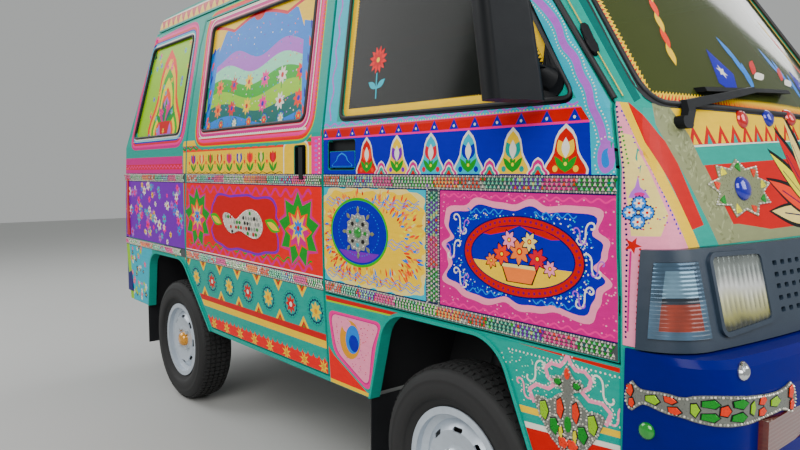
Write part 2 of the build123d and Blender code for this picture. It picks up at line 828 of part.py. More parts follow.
# Road wheels: steel rims and tyres, built on the axle line and then placed
rim_outer = [
    (-60, 167),
    (-56, 167),
    (-56, 152),
    (-38, 152),
    (-28, 134),
    (18, 134),
    (34, 152),
    (56, 152),
    (56, 167),
    (60, 167),
]
rim_inner = [(60, 148), (36, 148), (20, 130), (-30, 130), (-40, 148), (-60, 148)]
disc_outer = [(-40, 0), (-40, 62), (-44, 80), (-50, 104), (-28, 131.5)]
disc_inner = [(-22, 131.5), (-45, 104), (-40, 82), (-36, 60), (-36, 0)]
hand_holes = 8
with BuildPart() as rim:
    with BuildSketch(Plane.XZ):
        with BuildLine():
            Polyline(*rim_outer, *rim_inner, close=True)
        make_face()
        with BuildLine():
            Polyline(*disc_outer, *disc_inner, close=True)
        make_face()
    revolve(axis=Axis.X)
    with BuildSketch(Plane(origin=(-75, 0, 0), x_dir=(0, 1, 0), z_dir=(1, 0, 0))):
        with PolarLocations(106, hand_holes):
            SlotOverall(34, 13, rotation=90)
    extrude(amount=45, mode=Mode.SUBTRACT)
    with BuildSketch(Plane(origin=(-40, 0, 0), x_dir=(0, 1, 0), z_dir=(-1, 0, 0))):
        Circle(28)
    extrude(amount=18, taper=12)

half_width = tyre_width / 2
with BuildPart() as tyre:
    with BuildSketch(Plane.XZ):
        with BuildLine():
            Line((52, 153), (-52, 153))
            Line((-52, 153), (-55, 170))
            ThreePointArc((-55, 170), (-half_width, 214), (10 - half_width, 258))
            Line((10 - half_width, 258), (-56, tyre_radius - 5))
            Line((-56, tyre_radius - 5), (-40, tyre_radius))
            Line((-40, tyre_radius), (40, tyre_radius))
            Line((40, tyre_radius), (56, tyre_radius - 5))
            Line((56, tyre_radius - 5), (half_width - 10, 258))
            ThreePointArc((half_width - 10, 258), (half_width, 214), (55, 170))
            Line((55, 170), (52, 153))
        make_face()
    revolve(axis=Axis.X)

wheel_places = [
    ("front", front_track / 2, front_axle_y),
    ("rear", rear_track / 2, front_axle_y + rear_axle_aft),
]
for axle, across, along in wheel_places:
    for side, turn in ((-1, 0), (1, 180)):
        name = axle + ("_right" if side < 0 else "_left")
        place = Location((side * across, along, axle_height), (0, 0, turn))
        with BuildPart() as placed_rim:
            add(rim.part.moved(place))
        store(placed_rim.part, "rim_" + name)
        with BuildPart() as placed_tyre:
            add(tyre.part.moved(place))
        store(placed_tyre.part, "tyre_" + name)

# Front knuckles and struts, each turning about its inclined kingpin line
kingpin_low = (555, 190)
kingpin_high = (440, 740)
kingpin_slope = (kingpin_high[0] - kingpin_low[0]) / (kingpin_high[1] - kingpin_low[1])
kingpin_cosine = 1 / (1 + kingpin_slope ** 2) ** 0.5
arm_bottom = 172
arm_thickness = 22
rod_radius = 10
top_mount_height = 646
ball_height = arm_bottom + arm_thickness + seat_gap - rod_radius * kingpin_slope


def kingpin_plane(height):
    across = kingpin_low[0] + (height - kingpin_low[1]) * kingpin_slope
    return Plane(origin=(-across, front_axle_y, height), x_dir=(0, 1, 0), z_dir=(-kingpin_slope, 0, 1))


def axle_plane(across, aft, outward=1):
    """A plane across an axle, its normal along the vehicle's width."""
    return Plane(origin=(across, front_axle_y + aft, axle_height), x_dir=(0, 1, 0), z_dir=(outward, 0, 0))


disc_depth = 36
hub_gap = 2 * seat_gap
hub_face = front_track / 2 + disc_depth - hub_gap
with BuildPart() as knuckle_right:
    with BuildSketch(axle_plane(-hub_face, 0)):
        Circle(62)
    extrude(amount=20)
    with BuildSketch(axle_plane(-hub_face + 20, 0)):
        Circle(34)
    extrude(amount=50)
    with BuildSketch(axle_plane(-hub_face + 30, 0)):
        Circle(108)
    extrude(amount=12)
    with BuildSketch(kingpin_plane(ball_height)):
        Circle(rod_radius)
    extrude(amount=(top_mount_height - ball_height) / kingpin_cosine - seat_gap)
    with BuildSketch(kingpin_plane(205)):
        Circle(24)
    extrude(amount=355)
    with BuildSketch(kingpin_plane(222)):
        with Locations((0, 18)):
            Rectangle(56, 62)
    extrude(amount=120)
store_pair(knuckle_right.part, "knuckle")

with BuildPart() as front_suspension:
    with BuildSketch(ground_plane(arm_bottom)):
        with BuildLine():
            Polyline((-262, -110), (-400, -45), (-575, -26), (-575, 26), (-400, 45), (-262, 110), close=True)
        make_face()
    extrude(amount=arm_thickness)
    with BuildSketch(kingpin_plane(572)):
        Circle(50)
        Circle(40, mode=Mode.SUBTRACT)
    extrude(amount=78)
    with BuildSketch(kingpin_plane(top_mount_height)):
        Circle(58)
    extrude(amount=16)
    add(block(-580, 580, -200, 200, 664 - seat_gap, 720), mode=Mode.SUBTRACT)
    mirror(about=Plane.YZ)
    add(block(-270, 270, -40, 40, arm_bottom, 200))
    for side in (-1, 1):
        post = sorted((side * rail_inner, side * rail_outer))
        add(block(*post, -50, 50, arm_bottom, rail_bottom - seat_gap))
store(front_suspension.part, "front_suspension")

# Rear axle with its differential and the propeller shaft to the engine
rear_hub_face = rear_track / 2 + disc_depth - hub_gap
axle_tube_radius = 34
axle_tube_half = 470
shaft_start = engine_back + seat_gap
shaft_height = 330
with BuildPart() as rear_axle:
    with BuildSketch(axle_plane(-axle_tube_half, rear_axle_aft)):
        Circle(axle_tube_radius)
    extrude(amount=2 * axle_tube_half)
    for side in (-1, 1):
        with BuildSketch(axle_plane(side * rear_hub_face, rear_axle_aft, -side)):
            Circle(62)
        extrude(amount=30)
        with BuildSketch(axle_plane(side * (rear_hub_face - 20), rear_axle_aft, -side)):
            Circle(112)
        extrude(amount=66, taper=6)
        with BuildSketch(axle_plane(side * (rear_hub_face - 80), rear_axle_aft, -side)):
            Circle(axle_tube_radius)
        extrude(amount=120)
    with Locations((0, front_axle_y + rear_axle_aft, axle_height)):
        Sphere(98)
    shaft_way = (0, rear_axle_aft - engine_back - 90, axle_height - shaft_height)
    shaft_foot = (0, front_axle_y + shaft_start, shaft_height)
    with BuildSketch(Plane(origin=shaft_foot, x_dir=(1, 0, 0), z_dir=shaft_way)):
        Circle(32)
    extrude(amount=rear_axle_aft - 740)
    add(block(-60, 60, 600, shaft_start, 200, 450), mode=Mode.SUBTRACT)
store(rear_axle.part, "rear_axle")

# Rear leaf springs: arched leaves between hangers under the rails
spring_across = 400
spring_half = 500
spring_width = 54
leaf_thickness = 10
leaf_middle = 316
leaf_camber = 46
# Each leaf: half length, drop below the main leaf
leaves = [(spring_half, 0), (360, 9), (230, 18)]
with BuildPart() as leaf_springs:
    for half, drop in leaves:
        middle = leaf_middle - drop
        end = middle + leaf_camber * (half / spring_half) ** 2
        front, back = rear_axle_aft - half, rear_axle_aft + half
        top = middle + leaf_thickness
        end_top = end + leaf_thickness
        with BuildSketch(side_plane(-spring_across - spring_width / 2)):
            with BuildLine():
                ThreePointArc((front, end), (rear_axle_aft, middle), (back, end))
                Line((back, end), (back, end_top))
                ThreePointArc((back, end_top), (rear_axle_aft, top), (front, end_top))
                Line((front, end_top), (front, end))
            make_face()
        extrude(amount=spring_width)
    for aft in (rear_axle_aft - spring_half, rear_axle_aft + spring_half):
        inner = -rail_outer - seat_gap
        add(block(-spring_across - 32, inner, aft - 20, aft + 20, 355, floor_bottom - seat_gap))
    with BuildSketch(side_plane(-axle_tube_half)):
        with Locations((rear_axle_aft, axle_height)):
            Circle(axle_tube_radius + seat_gap)
    extrude(amount=2 * axle_tube_half, mode=Mode.SUBTRACT)
    mirror(about=Plane.YZ)
store(leaf_springs.part, "leaf_springs")

# Door mirrors: the sail in the window's corner, the arm and the head, turned towards the driver
mirror_centre = (-791, -280, 1316)
mirror_turn = -19
mirror_head = (168, 62, 24)
mirror_height = 250
mirror_arm = (-262, 1290)
mirror_arm_radius = 24
sail_aft = -215
with BuildPart() as mirror_right:
    add(hull(-5))
    add(door_pane, mode=Mode.INTERSECT)
    add(band(-420, sail_aft, 1190, 1500), mode=Mode.INTERSECT)
    add(hull(glass_setback - seat_gap), mode=Mode.SUBTRACT)
    arm_foot = (-676, front_axle_y + mirror_arm[0], mirror_arm[1])
    with BuildSketch(Plane(origin=arm_foot, x_dir=(0, 1, 0), z_dir=(-1, 0, 0))):
        Circle(mirror_arm_radius)
    extrude(amount=70)
    head_foot = (mirror_centre[0], front_axle_y + mirror_centre[1], mirror_centre[2] - mirror_height / 2)
    with BuildSketch(Plane(origin=head_foot).rotated((0, 0, mirror_turn))):
        RectangleRounded(*mirror_head)
    extrude(amount=mirror_height)
store_pair(mirror_right.part, "mirror")

# Mud flaps hung under the sills behind each wheel
with BuildPart() as mudflaps:
    for aft in (343, 2196):
        add(block(-665, -530, aft, aft + 4, 190, sill_bottom - seat_gap))
    mirror(about=Plane.YZ)
store(mudflaps.part, "mudflaps")

# Exhaust, fuel tank and the spare wheel slung under the floor
exhaust_x = 170
exhaust_height = 315


def exhaust_plane(aft):
    return Plane(origin=(exhaust_x, front_axle_y + aft, exhaust_height), x_dir=(1, 0, 0), z_dir=(0, 1, 0))


with BuildPart() as exhaust:
    with BuildSketch(exhaust_plane(900)):
        Circle(62)
    extrude(amount=360)
    fillet(exhaust.edges(), 12)
    with BuildSketch(exhaust_plane(shaft_start)):
        Circle(20)
    extrude(amount=800)
    for aft in (840, 1405):
        add(block(exhaust_x - 15, exhaust_x + 15, aft, aft + 20, exhaust_height, member_bottom - seat_gap))
store(exhaust.part, "exhaust")

with BuildPart() as fuel_tank:
    add(block(-430, -90, 880, 1270, 240, rail_bottom - seat_gap))
    fillet(fuel_tank.edges().filter_by(Axis.Y), 30)
store(fuel_tank.part, "fuel_tank")

spare_aft = 2188
with BuildPart() as spare_wheel:
    with BuildSketch(ground_plane(238)):
        with Locations((0, spare_aft)):
            Circle(tyre_radius)
    extrude(amount=140)
    fillet(spare_wheel.edges(), 38)
    with BuildSketch(ground_plane(238)):
        with Locations((0, spare_aft)):
            Circle(140)
    extrude(amount=45, mode=Mode.SUBTRACT)
    with BuildSketch(ground_plane(370)):
        with Locations((0, spare_aft)):
            Circle(40)
    extrude(amount=40 - seat_gap)
store(spare_wheel.part, "spare_wheel")

with BuildPart() as tow_eyes:
    for s in (-1, 1):
        x_low, x_high = sorted((s * 286, s * 298))
        add(block(x_low, x_high, -600, -480, 345, rail_bottom - seat_gap))
    with BuildSketch(Plane(origin=(-300, front_axle_y - 578, 368), x_dir=(0, 1, 0), z_dir=(1, 0, 0))):
        Circle(12)
    extrude(amount=600, mode=Mode.SUBTRACT)
store(tow_eyes.part, "tow_eyes")

# Wipers: a boss on the nose panel, an arm that stands off it and a blade on the glass, across and height
wiper_boss = [(-562, 1140), (-562, 1166), (-532, 1166), (-532, 1140)]
wiper_arm = [(-560, 1144), (-524, 1200), (-206, 1252), (-200, 1240), (-512, 1184), (-536, 1144)]
wiper_blade = [(-420, 1226), (-420, 1236), (10, 1262), (10, 1252)]
wiper_shifts = (0, 545)


def wiper_zones(outline, radius=0):
    shifted = [[(across + shift, height) for across, height in outline] for shift in wiper_shifts]
    return front_prism(shifted[0], radius) + front_prism(shifted[1], radius)


with BuildPart() as wiper_bosses:
    add(hull(-20))
    add(wiper_zones(wiper_boss, 12), mode=Mode.INTERSECT)
    add(trim_inner, mode=Mode.SUBTRACT)
with BuildPart() as wiper_blades:
    add(hull(-16))
    add(wiper_zones(wiper_blade), mode=Mode.INTERSECT)
    add(hull(glass_setback - seat_gap), mode=Mode.SUBTRACT)
with BuildPart() as wipers:
    add(hull(-20))
    add(wiper_zones(wiper_arm), mode=Mode.INTERSECT)
    add(hull(-6), mode=Mode.SUBTRACT)
    add(wiper_bosses.part)
    add(wiper_blades.part)
store(wipers.part, "wipers")
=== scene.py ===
import math
import random

import bpy
import bmesh
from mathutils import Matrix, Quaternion, Vector
from mathutils.bvhtree import BVHTree
from mathutils.geometry import delaunay_2d_cdt


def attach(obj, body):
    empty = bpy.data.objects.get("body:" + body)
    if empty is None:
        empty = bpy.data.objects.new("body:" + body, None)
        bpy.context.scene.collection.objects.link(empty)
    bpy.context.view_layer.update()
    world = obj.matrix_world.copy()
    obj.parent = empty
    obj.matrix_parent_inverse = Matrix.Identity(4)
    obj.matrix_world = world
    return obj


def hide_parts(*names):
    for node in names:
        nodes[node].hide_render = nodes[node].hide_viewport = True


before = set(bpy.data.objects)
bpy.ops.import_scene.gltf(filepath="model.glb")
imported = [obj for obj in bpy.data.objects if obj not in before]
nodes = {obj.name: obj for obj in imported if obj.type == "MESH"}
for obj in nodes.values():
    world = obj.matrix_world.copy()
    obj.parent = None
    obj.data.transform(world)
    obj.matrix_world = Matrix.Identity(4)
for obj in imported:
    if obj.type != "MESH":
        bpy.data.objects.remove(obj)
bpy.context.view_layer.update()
sides = (("right", False), ("left", True))  # the left side is the right one mirrored
print("stage: frame loaded,", len(nodes), "panels and parts")


def inScene(name, data):                    # an object at the origin, with its place in its mesh
    made = bpy.data.objects.new(name, data)
    bpy.context.scene.collection.objects.link(made)
    return made


def handOver(piece, body, replaced=None):
    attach(piece, body)
    if replaced:
        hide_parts(replaced)
    return piece


# Camera, placed by the wheels and seams of the photograph
cameraView = {
    "place": (-1.8561, -2.077, 1.0506), "yaw": 40.1155, "pitch": -4.4306, "roll": 0.058, "lens": 30.15,
    "sensor": 36.0, "clip": (0.02, 60.0),
}


def makeCamera():
    lens = bpy.data.cameras.new("camera")
    lens.lens, lens.sensor_width = cameraView["lens"], cameraView["sensor"]
    lens.clip_start, lens.clip_end = cameraView["clip"]
    holder = inScene("camera", lens)
    yaw, pitch, roll = (math.radians(cameraView[key]) for key in ("yaw", "pitch", "roll"))
    ahead = Vector((math.sin(yaw) * math.cos(pitch), math.cos(yaw) * math.cos(pitch), math.sin(pitch)))
    holder.rotation_mode = "QUATERNION"
    holder.rotation_quaternion = ahead.to_track_quat("-Z", "Y") @ Quaternion((0, 0, 1), roll)
    holder.location = cameraView["place"]
    bpy.context.scene.camera = holder


makeCamera()

# Enamels, as a sign painter would mix them
enamels = {
    "turquoise": "#009A8C", "cyan": "#00B4C8", "sky": "#1E86D8", "cobalt": "#0024A0", "navy": "#02104A",
    "red": "#C00012", "scarlet": "#E01408", "rose": "#CF2A4E", "pink": "#F0559C", "magenta": "#C81488",
    "blush": "#F8A4BC", "peach": "#F58E62", "orange": "#EE5A04", "yellow": "#F4CC00", "ochre": "#DA9C00",
    "lemon": "#EEE400", "lime": "#9CCB1A", "green": "#008A34", "leaf": "#3FA636", "violet": "#7A38AC",
    "lilac": "#B878D0", "white": "#F2EEE2", "cream": "#F0DC98", "silver": "#8E9272", "black": "#08090B",
    "bumperBlue": "#001A66", "grout": "#4E5254", "pewter": "#A6A8A0", "lead": "#7C7E78",
    # two foil tones: a painted highlight and a painted shade of the silver foil
    "foilLight": "#A2A684", "foilDark": "#7C8062", "mint": "#A4E8C4", "coral": "#F06A44",
    "plum": "#6C1060", "teal": "#00645E",
}


def linear(code):
    parts = [int(code[i:i + 2], 16) / 255 for i in (1, 3, 5)]
    return tuple(p / 12.92 if p < 0.04045 else ((p + 0.055) / 1.055) ** 2.4 for p in parts) + (1.0,)


def deep(colour, strength=1.3, level=0.84):       # a little purer and darker, as paint looks in even light
    mean = sum(colour[:3]) / 3
    return tuple(max(0.0, mean + (c - mean) * strength) * level for c in colour[:3]) + (1.0,)


paintOf = {name: deep(linear(code)) for name, code in enamels.items()}


# Node graphs
class Wire:
    def __init__(self, graph, socket):
        self.graph, self.socket = graph, socket

    def maths(self, operation, first, second=0.0):
        return self.graph.add("ShaderNodeMath", {"operation": operation}, {0: first, 1: second})

    def __add__(self, other):
        return self.maths("ADD", self, other)

    def __radd__(self, other):
        return self.maths("ADD", other, self)

    def __sub__(self, other):
        return self.maths("SUBTRACT", self, other)

    def __rsub__(self, other):
        return self.maths("SUBTRACT", other, self)

    def __mul__(self, other):
        return self.maths("MULTIPLY", self, other)

    def __rmul__(self, other):
        return self.maths("MULTIPLY", other, self)

    def __truediv__(self, other):
        return self.maths("DIVIDE", self, other)

    def __rtruediv__(self, other):
        return self.maths("DIVIDE", other, self)

    def __gt__(self, other):                # 1 where it is above, 0 elsewhere
        return self.maths("GREATER_THAN", self, other)

    def __lt__(self, other):
        return self.maths("GREATER_THAN", other, self)

    def sine(self):
        return self.maths("SINE", self)


class Graph:
    def __init__(self, tree, material=None):
        self.tree, self.material = tree, material

    def add(self, kind, settings=None, sockets=None, output=0):
        made = self.tree.nodes.new(kind)
        for key, value in (settings or {}).items():
            if key == "stops":
                ramp = made.color_ramp
                while len(ramp.elements) < len(value):
                    ramp.elements.new(1.0)
                for element, (position, colour) in zip(ramp.elements, value):
                    element.position, element.color = position, colour
            elif key == "spread":
                made.color_ramp.interpolation = value
            else:
                setattr(made, key, value)
        for key, value in (sockets or {}).items():
            if isinstance(value, Wire):
                self.tree.links.new(value.socket, made.inputs[key])
            else:
                made.inputs[key].default_value = value
        return Wire(self, made.outputs[output]) if len(made.outputs) else None


def newMaterial(name):
    material = bpy.data.materials.new(name)
    material.use_nodes = True
    material.node_tree.nodes.clear()
    return Graph(material.node_tree, material)


def finishMaterial(graph, sockets):
    surface = graph.add("ShaderNodeBsdfPrincipled", None, sockets)
    graph.add("ShaderNodeOutputMaterial", None, {"Surface": surface})
    return graph.material


def grain(graph, scale, detail=3.0, stretch=(1, 1, 1)):
    coords = graph.add("ShaderNodeTexCoord", None, None, 3)
    mapped = graph.add("ShaderNodeMapping", None, {"Vector": coords, "Scale": stretch})
    sockets = {"Vector": mapped, "Scale": scale, "Detail": detail, "Roughness": 0.55}
    return graph.add("ShaderNodeTexNoise", None, sockets)


def tinted(graph, colour, amount):          # a colour darkened and lightened a little by a factor around 1
    first = colour if isinstance(colour, Wire) else colour[:3]
    return graph.add("ShaderNodeVectorMath", {"operation": "SCALE"}, {0: first, 3: amount})


def bumped(graph, strength, distance, height):
    return graph.add("ShaderNodeBump", None, {"Strength": strength, "Distance": distance, "Height": height})


def faceColour(graph):                      # the colour that each face carries
    return graph.add("ShaderNodeAttribute", {"attribute_name": "paint"})


enamelLook = {"roughness": 0.3, "coat": 0.05, "brush": 26.0, "grain": 240.0, "unevenness": 0.24,
    "fineness": 0.10}


def enamel(name, colour=None, look=enamelLook):
    graph = newMaterial(name)
    base = paintOf[colour] if colour else faceColour(graph)
    brush = grain(graph, look["brush"], 4.0, (1, 1, 4))
    fine = grain(graph, look["grain"], 2.0)
    rest = 1 - look["unevenness"] / 2 - look["fineness"] / 2
    shade = brush * look["unevenness"] + fine * look["fineness"] + rest
    return finishMaterial(graph, {
        "Base Color": tinted(graph, base, shade), "Roughness": fine * 0.14 + look["roughness"],
        "Coat Weight": look["coat"], "Coat Roughness": 0.1, "Specular IOR Level": 0.1,
        "Normal": bumped(graph, 0.25, 0.0006, brush * 0.6 + fine * 0.4),
    })


def plain(name, colour, roughness, metallic=0.0, scale=120.0, unevenness=0.25, depth=0.0004, shine=0.5):
    graph = newMaterial(name)
    cloud = grain(graph, scale, 4.0)
    patch = grain(graph, scale / 12, 3.0)
    shade = cloud * unevenness + patch * unevenness + (1 - unevenness)
    return finishMaterial(graph, {
        "Base Color": tinted(graph, linear(colour), shade), "Roughness": patch * 0.2 + (roughness - 0.1),
        "Metallic": metallic, "Specular IOR Level": shine, "Normal": bumped(graph, 0.35, depth, cloud),
    })


def foil(name):                             # pressed tape and mirror chips
    graph = newMaterial(name)
    crumple = grain(graph, 240.0, 2.0)
    return finishMaterial(graph, {
        "Base Color": tinted(graph, faceColour(graph), crumple * 0.4 + 0.8),
            "Roughness": crumple * 0.25 + 0.18,
        "Metallic": 0.45, "Normal": bumped(graph, 0.3, 0.0005, crumple),
    })


def gem(name):                              # glassy studs and reflectors
    graph = newMaterial(name)
    cloud = grain(graph, 60.0, 2.0)
    return finishMaterial(graph, {
        "Base Color": tinted(graph, faceColour(graph), cloud * 0.6 + 0.7), "Roughness": cloud * 0.1 + 0.1,
        "Metallic": 0.25, "Coat Weight": 1.0, "Coat Roughness": 0.05,
    })


def glass(name, colour, alpha, roughness=0.05, shine=0.5):
    graph = newMaterial(name)
    dust = grain(graph, 9.0, 5.0)
    return finishMaterial(graph, {
        "Base Color": tinted(graph, linear(colour), dust * 0.2 + 0.9), "Roughness": dust * 0.05 + roughness,
        "Alpha": alpha, "Specular IOR Level": shine,
    })


painted = enamel("paintedEnamel")
ground = enamel("turquoiseEnamel", "turquoise")
blueEnamel = enamel("blueEnamel", "bumperBlue")
tapeFoil = foil("pressedTape")
# door and tailgate glass: its near-black colour and low transparency are painted shade of the dark cab
# behind it
glassWithPaintedShade = glass("doorGlass", "#0C100C", 0.84, 0.08, 0.12)
screenGlass = glass("screenGlass", "#444E1C", 0.58, 0.05, 0.3)
paneGlass = glass("paintedPane", "#3C4A40", 0.9)
rubber = plain("sealRubber", "#15161A", 0.55, depth=0.0003)
blackPlastic = plain("grainedPlastic", "#0B0E12", 0.5, scale=420.0, shine=0.22)
slatePlastic = plain("lampSurround", "#22303F", 0.38, scale=300.0)
tyreRubber = plain("tyreRubber", "#1A1A1B", 0.74, scale=90.0, unevenness=0.35)
rimSilver = plain("rimSilver", "#B9C3CE", 0.34, 0.35, scale=60.0)
blackSteel = plain("underbodyBlack", "#16161A", 0.6, scale=70.0)
castIron = plain("castIron", "#4A4744", 0.7, 0.6, scale=140.0)
dullSteel = plain("dullSteel", "#84807A", 0.5, 0.8, scale=90.0)
chrome = plain("brightChrome", "#D6D9DA", 0.16, 1.0, scale=40.0, unevenness=0.06, depth=0.0001)
seatCloth = plain("seatCloth", "#2B2D36", 0.9, scale=700.0, unevenness=0.4, depth=0.0008)
tailRed = glass("tailLampGlass", "#C4141C", 0.93, 0.12)


def objectAxis(graph, axis):
    coords = graph.add("ShaderNodeTexCoord", None, None, 3)
    return graph.add("ShaderNodeSeparateXYZ", None, {0: coords}, axis)


def blend(graph, factor, first, second):
    return graph.add("ShaderNodeMix", {"data_type": "RGBA"}, {0: factor, 6: first, 7: second}, 2)


# the bowl stops are a painted reflection and painted highlight of the headlamp's reflector
lampLook = {
    "bowlReflection": [(0.0, "#3E4234"), (0.12, "#B8B468"), (0.34, "#EDEBB8"), (0.55, "#FFFFFA"), (0.74, "#A9B2AC"),
             (1.0, "#5B635F")],
    "bowlFoot": 0.757, "bowlScale": 7.7, "flutes": 378.0, "ribs": 810.0, "bars": 210.0,
    "split": 0.812, "seam": 0.006, "bumperTop": 0.65,
    "frameTop": 0.868, "frameFoot": 0.756, "frameBack": -1.446, "frameInside": 0.622,
}


def headlampLens():                         # fluted glass; its colour is a painted reflection of the bowl, dark above, a white painted highlight in the middle and warm below, with the flutes painted lighter and darker
    graph = newMaterial("headlampLens")
    across, up = objectAxis(graph, 0), objectAxis(graph, 2)
    glow = grain(graph, 16.0, 3.0, (1, 1, 0.6))
    height = (up - lampLook["bowlFoot"]) * lampLook["bowlScale"] + glow * 0.24 - 0.12
    stops = [(place, linear(code)) for place, code in lampLook["bowlReflection"]]
    bowlReflection = graph.add("ShaderNodeValToRGB", {"stops": stops}, {0: height})
    flutes = (across * lampLook["flutes"]).sine() * (up * 60.0 + 1.0).sine()
    return finishMaterial(graph, {
        # the flutes also paint light and shade into the lens colour
        "Base Color": tinted(graph, bowlReflection, flutes * 0.16 + 0.86), "Roughness": glow * 0.12 + 0.1,
            "Metallic": 0.55,
        "Coat Weight": 1.0, "Coat Roughness": 0.03,
            "Normal": bumped(graph, 0.7, 0.003, flutes * 0.5 + glow * 0.6),
    })


def cornerLens():                           # clear above, amber below, amber in the bumper
    graph = newMaterial("cornerLens")
    across, along, up = (objectAxis(graph, axis) for axis in range(3))
    across = across.maths("ABSOLUTE", across)
    split, rim = lampLook["split"], lampLook["seam"]
    clear = up > split
    seam = (up > split - rim) - (up > split + rim)
    low = up > lampLook["bumperTop"]
    amber = blend(graph, low, linear("#5E1A06"), linear("#7C2A18"))
    ribs = (up * lampLook["ribs"]).sine()
    bars = (along * lampLook["bars"]).sine()
    glow = grain(graph, 40.0, 2.0)
    whole = blend(graph, seam, blend(graph, clear, amber, linear("#6A8DA2")), linear("#1A2632"))
    edge = (up > lampLook["frameTop"]) + (lampLook["frameFoot"] > up)
    edge = edge + (along > lampLook["frameBack"]) + (lampLook["frameInside"] > across)
    whole = blend(graph, edge * low > 0.5, whole, linear("#3A566C"))
    return finishMaterial(graph, {
        # the bars also paint light and shade across the lens colour
        "Base Color": tinted(graph, whole, glow * 0.7 + bars * 0.14 + 0.6), "Roughness": glow * 0.1 + 0.12,
        "Coat Weight": 1.0, "Coat Roughness": 0.04, "Metallic": clear * 0.5,
        "Normal": bumped(graph, 0.4, 0.0012, ribs * 0.4 + bars * 0.5),
    })


roofLook = {"bandLow": 1.735, "bandHigh": 1.782, "teeth": 17.0, "toothHeight": 0.09, "edge": 0.008}


def roofEnamel():                           # a painted border along the roof's foot
    graph = newMaterial("roofEnamel")
    up, along = objectAxis(graph, 2), objectAxis(graph, 1)
    low, high = roofLook["bandLow"], roofLook["bandHigh"]
    band = (up > low) - (up > high)
    saw = along.maths("PINGPONG", along * roofLook["teeth"], 0.5)
    tooth = saw * roofLook["toothHeight"] + low + 0.001 > up
    edge = (up > high) - (up > high + roofLook["edge"])
    patch = grain(graph, 30.0, 3.0)
    base = blend(graph, band, paintOf["turquoise"], paintOf["red"])
    base = blend(graph, band * tooth, base, paintOf["yellow"])
    base = blend(graph, edge, base, paintOf["white"])
    return finishMaterial(graph, {
        "Base Color": tinted(graph, base, patch * 0.3 + 0.84), "Roughness": patch * 0.15 + 0.3,
        "Specular IOR Level": 0.32, "Normal": bumped(graph, 0.25, 0.0006, patch),
    })


finishes = [                                # by the node's name without its side
    (ground, "side_frame front_panel rear_panel door_front sliding_door tailgate"), (roofEnamel(), "roof"),
    (slatePlastic, "grille_panel"), (blueEnamel, "bumper_front bumper_rear"), (screenGlass, "windscreen"),
    (glassWithPaintedShade, "door_glass tailgate_glass"), (paneGlass, "side_windows"), (headlampLens(), "headlamps"),
    (cornerLens(), "front_indicators"), (tailRed, "tail_lamps"), (seatCloth, "seats"), (castIron, "engine"),
    (blackPlastic, "mirror dashboard steering_wheel wipers"), (dullSteel, "exhaust"), (rubber, "mudflaps"),
    (rimSilver, "rim_front rim_rear"), (tyreRubber, "tyre_front tyre_rear spare_wheel"),
]
finishOf = {name: finish for finish, names in finishes for name in names.split()}
for nodeName, node in nodes.items():
    node.data.materials.clear()
    node.data.materials.append(finishOf.get(nodeName.removesuffix("_right").removesuffix("_left"),
        blackSteel))
print("stage: finishes on the frame")

# The body's own surface, in millimetres: rows are height, half width, nose aft of the axle, bow, nose corner
frontAxle = -875
midBody = 800
planRows = [
    (384, 671, -655, 70, 100), (710, 690, -672, 70, 105), (906, 693, -628, 72, 100),
        (1178, 691, -560, 75, 90),
    (1722, 618, -190, 66, 80),
]
tailRows = [(384, 671, 2455), (710, 690, 2452), (906, 693, 2440), (1178, 691, 2412), (1722, 618, 2132)]
tailBow = 18
bumperRows = [
    (400, 697, -743, 65, 110), (428, 697, -755, 65, 110), (650, 697, -755, 65, 110),
        (698, 697, -743, 65, 110),
    (712, 697, -725, 65, 110),
]


def between(rows, height):
    for low, high in zip(rows, rows[1:]):
        if height <= high[0]:
            break
    share = (height - low[0]) / (high[0] - low[0])
    return [a + (b - a) * share for a, b in zip(low[1:], high[1:])]


def arcRadius(half, bow):
    return (half * half + bow * bow) / (2 * bow)


def cornerCentre(half, nose, bow, corner):   # the middle of the nose corner's round
    radius = arcRadius(half, bow)
    return corner - half, nose + radius - math.sqrt((radius - corner) ** 2 - (corner - half) ** 2)


def wrapPoint(rows, along, height):         # along is aft on the flank, then the length round the corner
    half, nose, bow, corner = between(rows, height)
    radius = arcRadius(half, bow)
    centreY = nose + radius
    cornerX, cornerY = cornerCentre(half, nose, bow, corner)
    if along >= cornerY:
        return Vector((-half, along, height))
    sweep = math.atan2(centreY - cornerY, -cornerX)
    turned = (cornerY - along) / corner
    if turned <= sweep:
        return Vector((cornerX - corner * math.cos(turned), cornerY - corner * math.sin(turned), height))
    angle = sweep + (cornerY - along - corner * sweep) / radius
    return Vector((-radius * math.cos(angle), centreY - radius * math.sin(angle), height))


def flankPoint(along, height):
    return wrapPoint(planRows, along, height)


def bumperPoint(along, height):
    return wrapPoint(bumperRows, along, height)


def nosePoint(across, height):
    half, nose, bow, corner = between(planRows, height)
    radius = arcRadius(half, bow)
    return Vector((across, nose + radius - math.sqrt(radius ** 2 - across ** 2), height))


def tailPoint(across, height):
    half, tail = between(tailRows, height)
    radius = arcRadius(half, tailBow)
    return Vector((across, tail - radius + math.sqrt(radius ** 2 - across ** 2), height))


def onSurface(pointAt, first, height, lift, inset=0.0):      # metres, in the frame's own axes
    here = pointAt(first, height)
    one = pointAt(first + 1, height) - here
    two = pointAt(first, height + 1) - here
    out = one.cross(two).normalized()
    if out.dot(Vector((here.x, here.y - midBody, 0))) < 0:
        out = -out
    here = here + out * (lift - inset)
    return Vector((here.x, here.y + frontAxle, here.z)) / 1000


# Flat shapes, points in millimetres
def rect(a, low, b, high):
    return [(a, low), (b, low), (b, high), (a, high)]


def steps(count):                           # angles round a circle
    return [2 * math.pi * i / count for i in range(count)]


def pitches(a, b, pitch):                   # how many fit between a and b, and the even step between them
    count = max(1, round((b - a) / pitch))
    return count, (b - a) / count


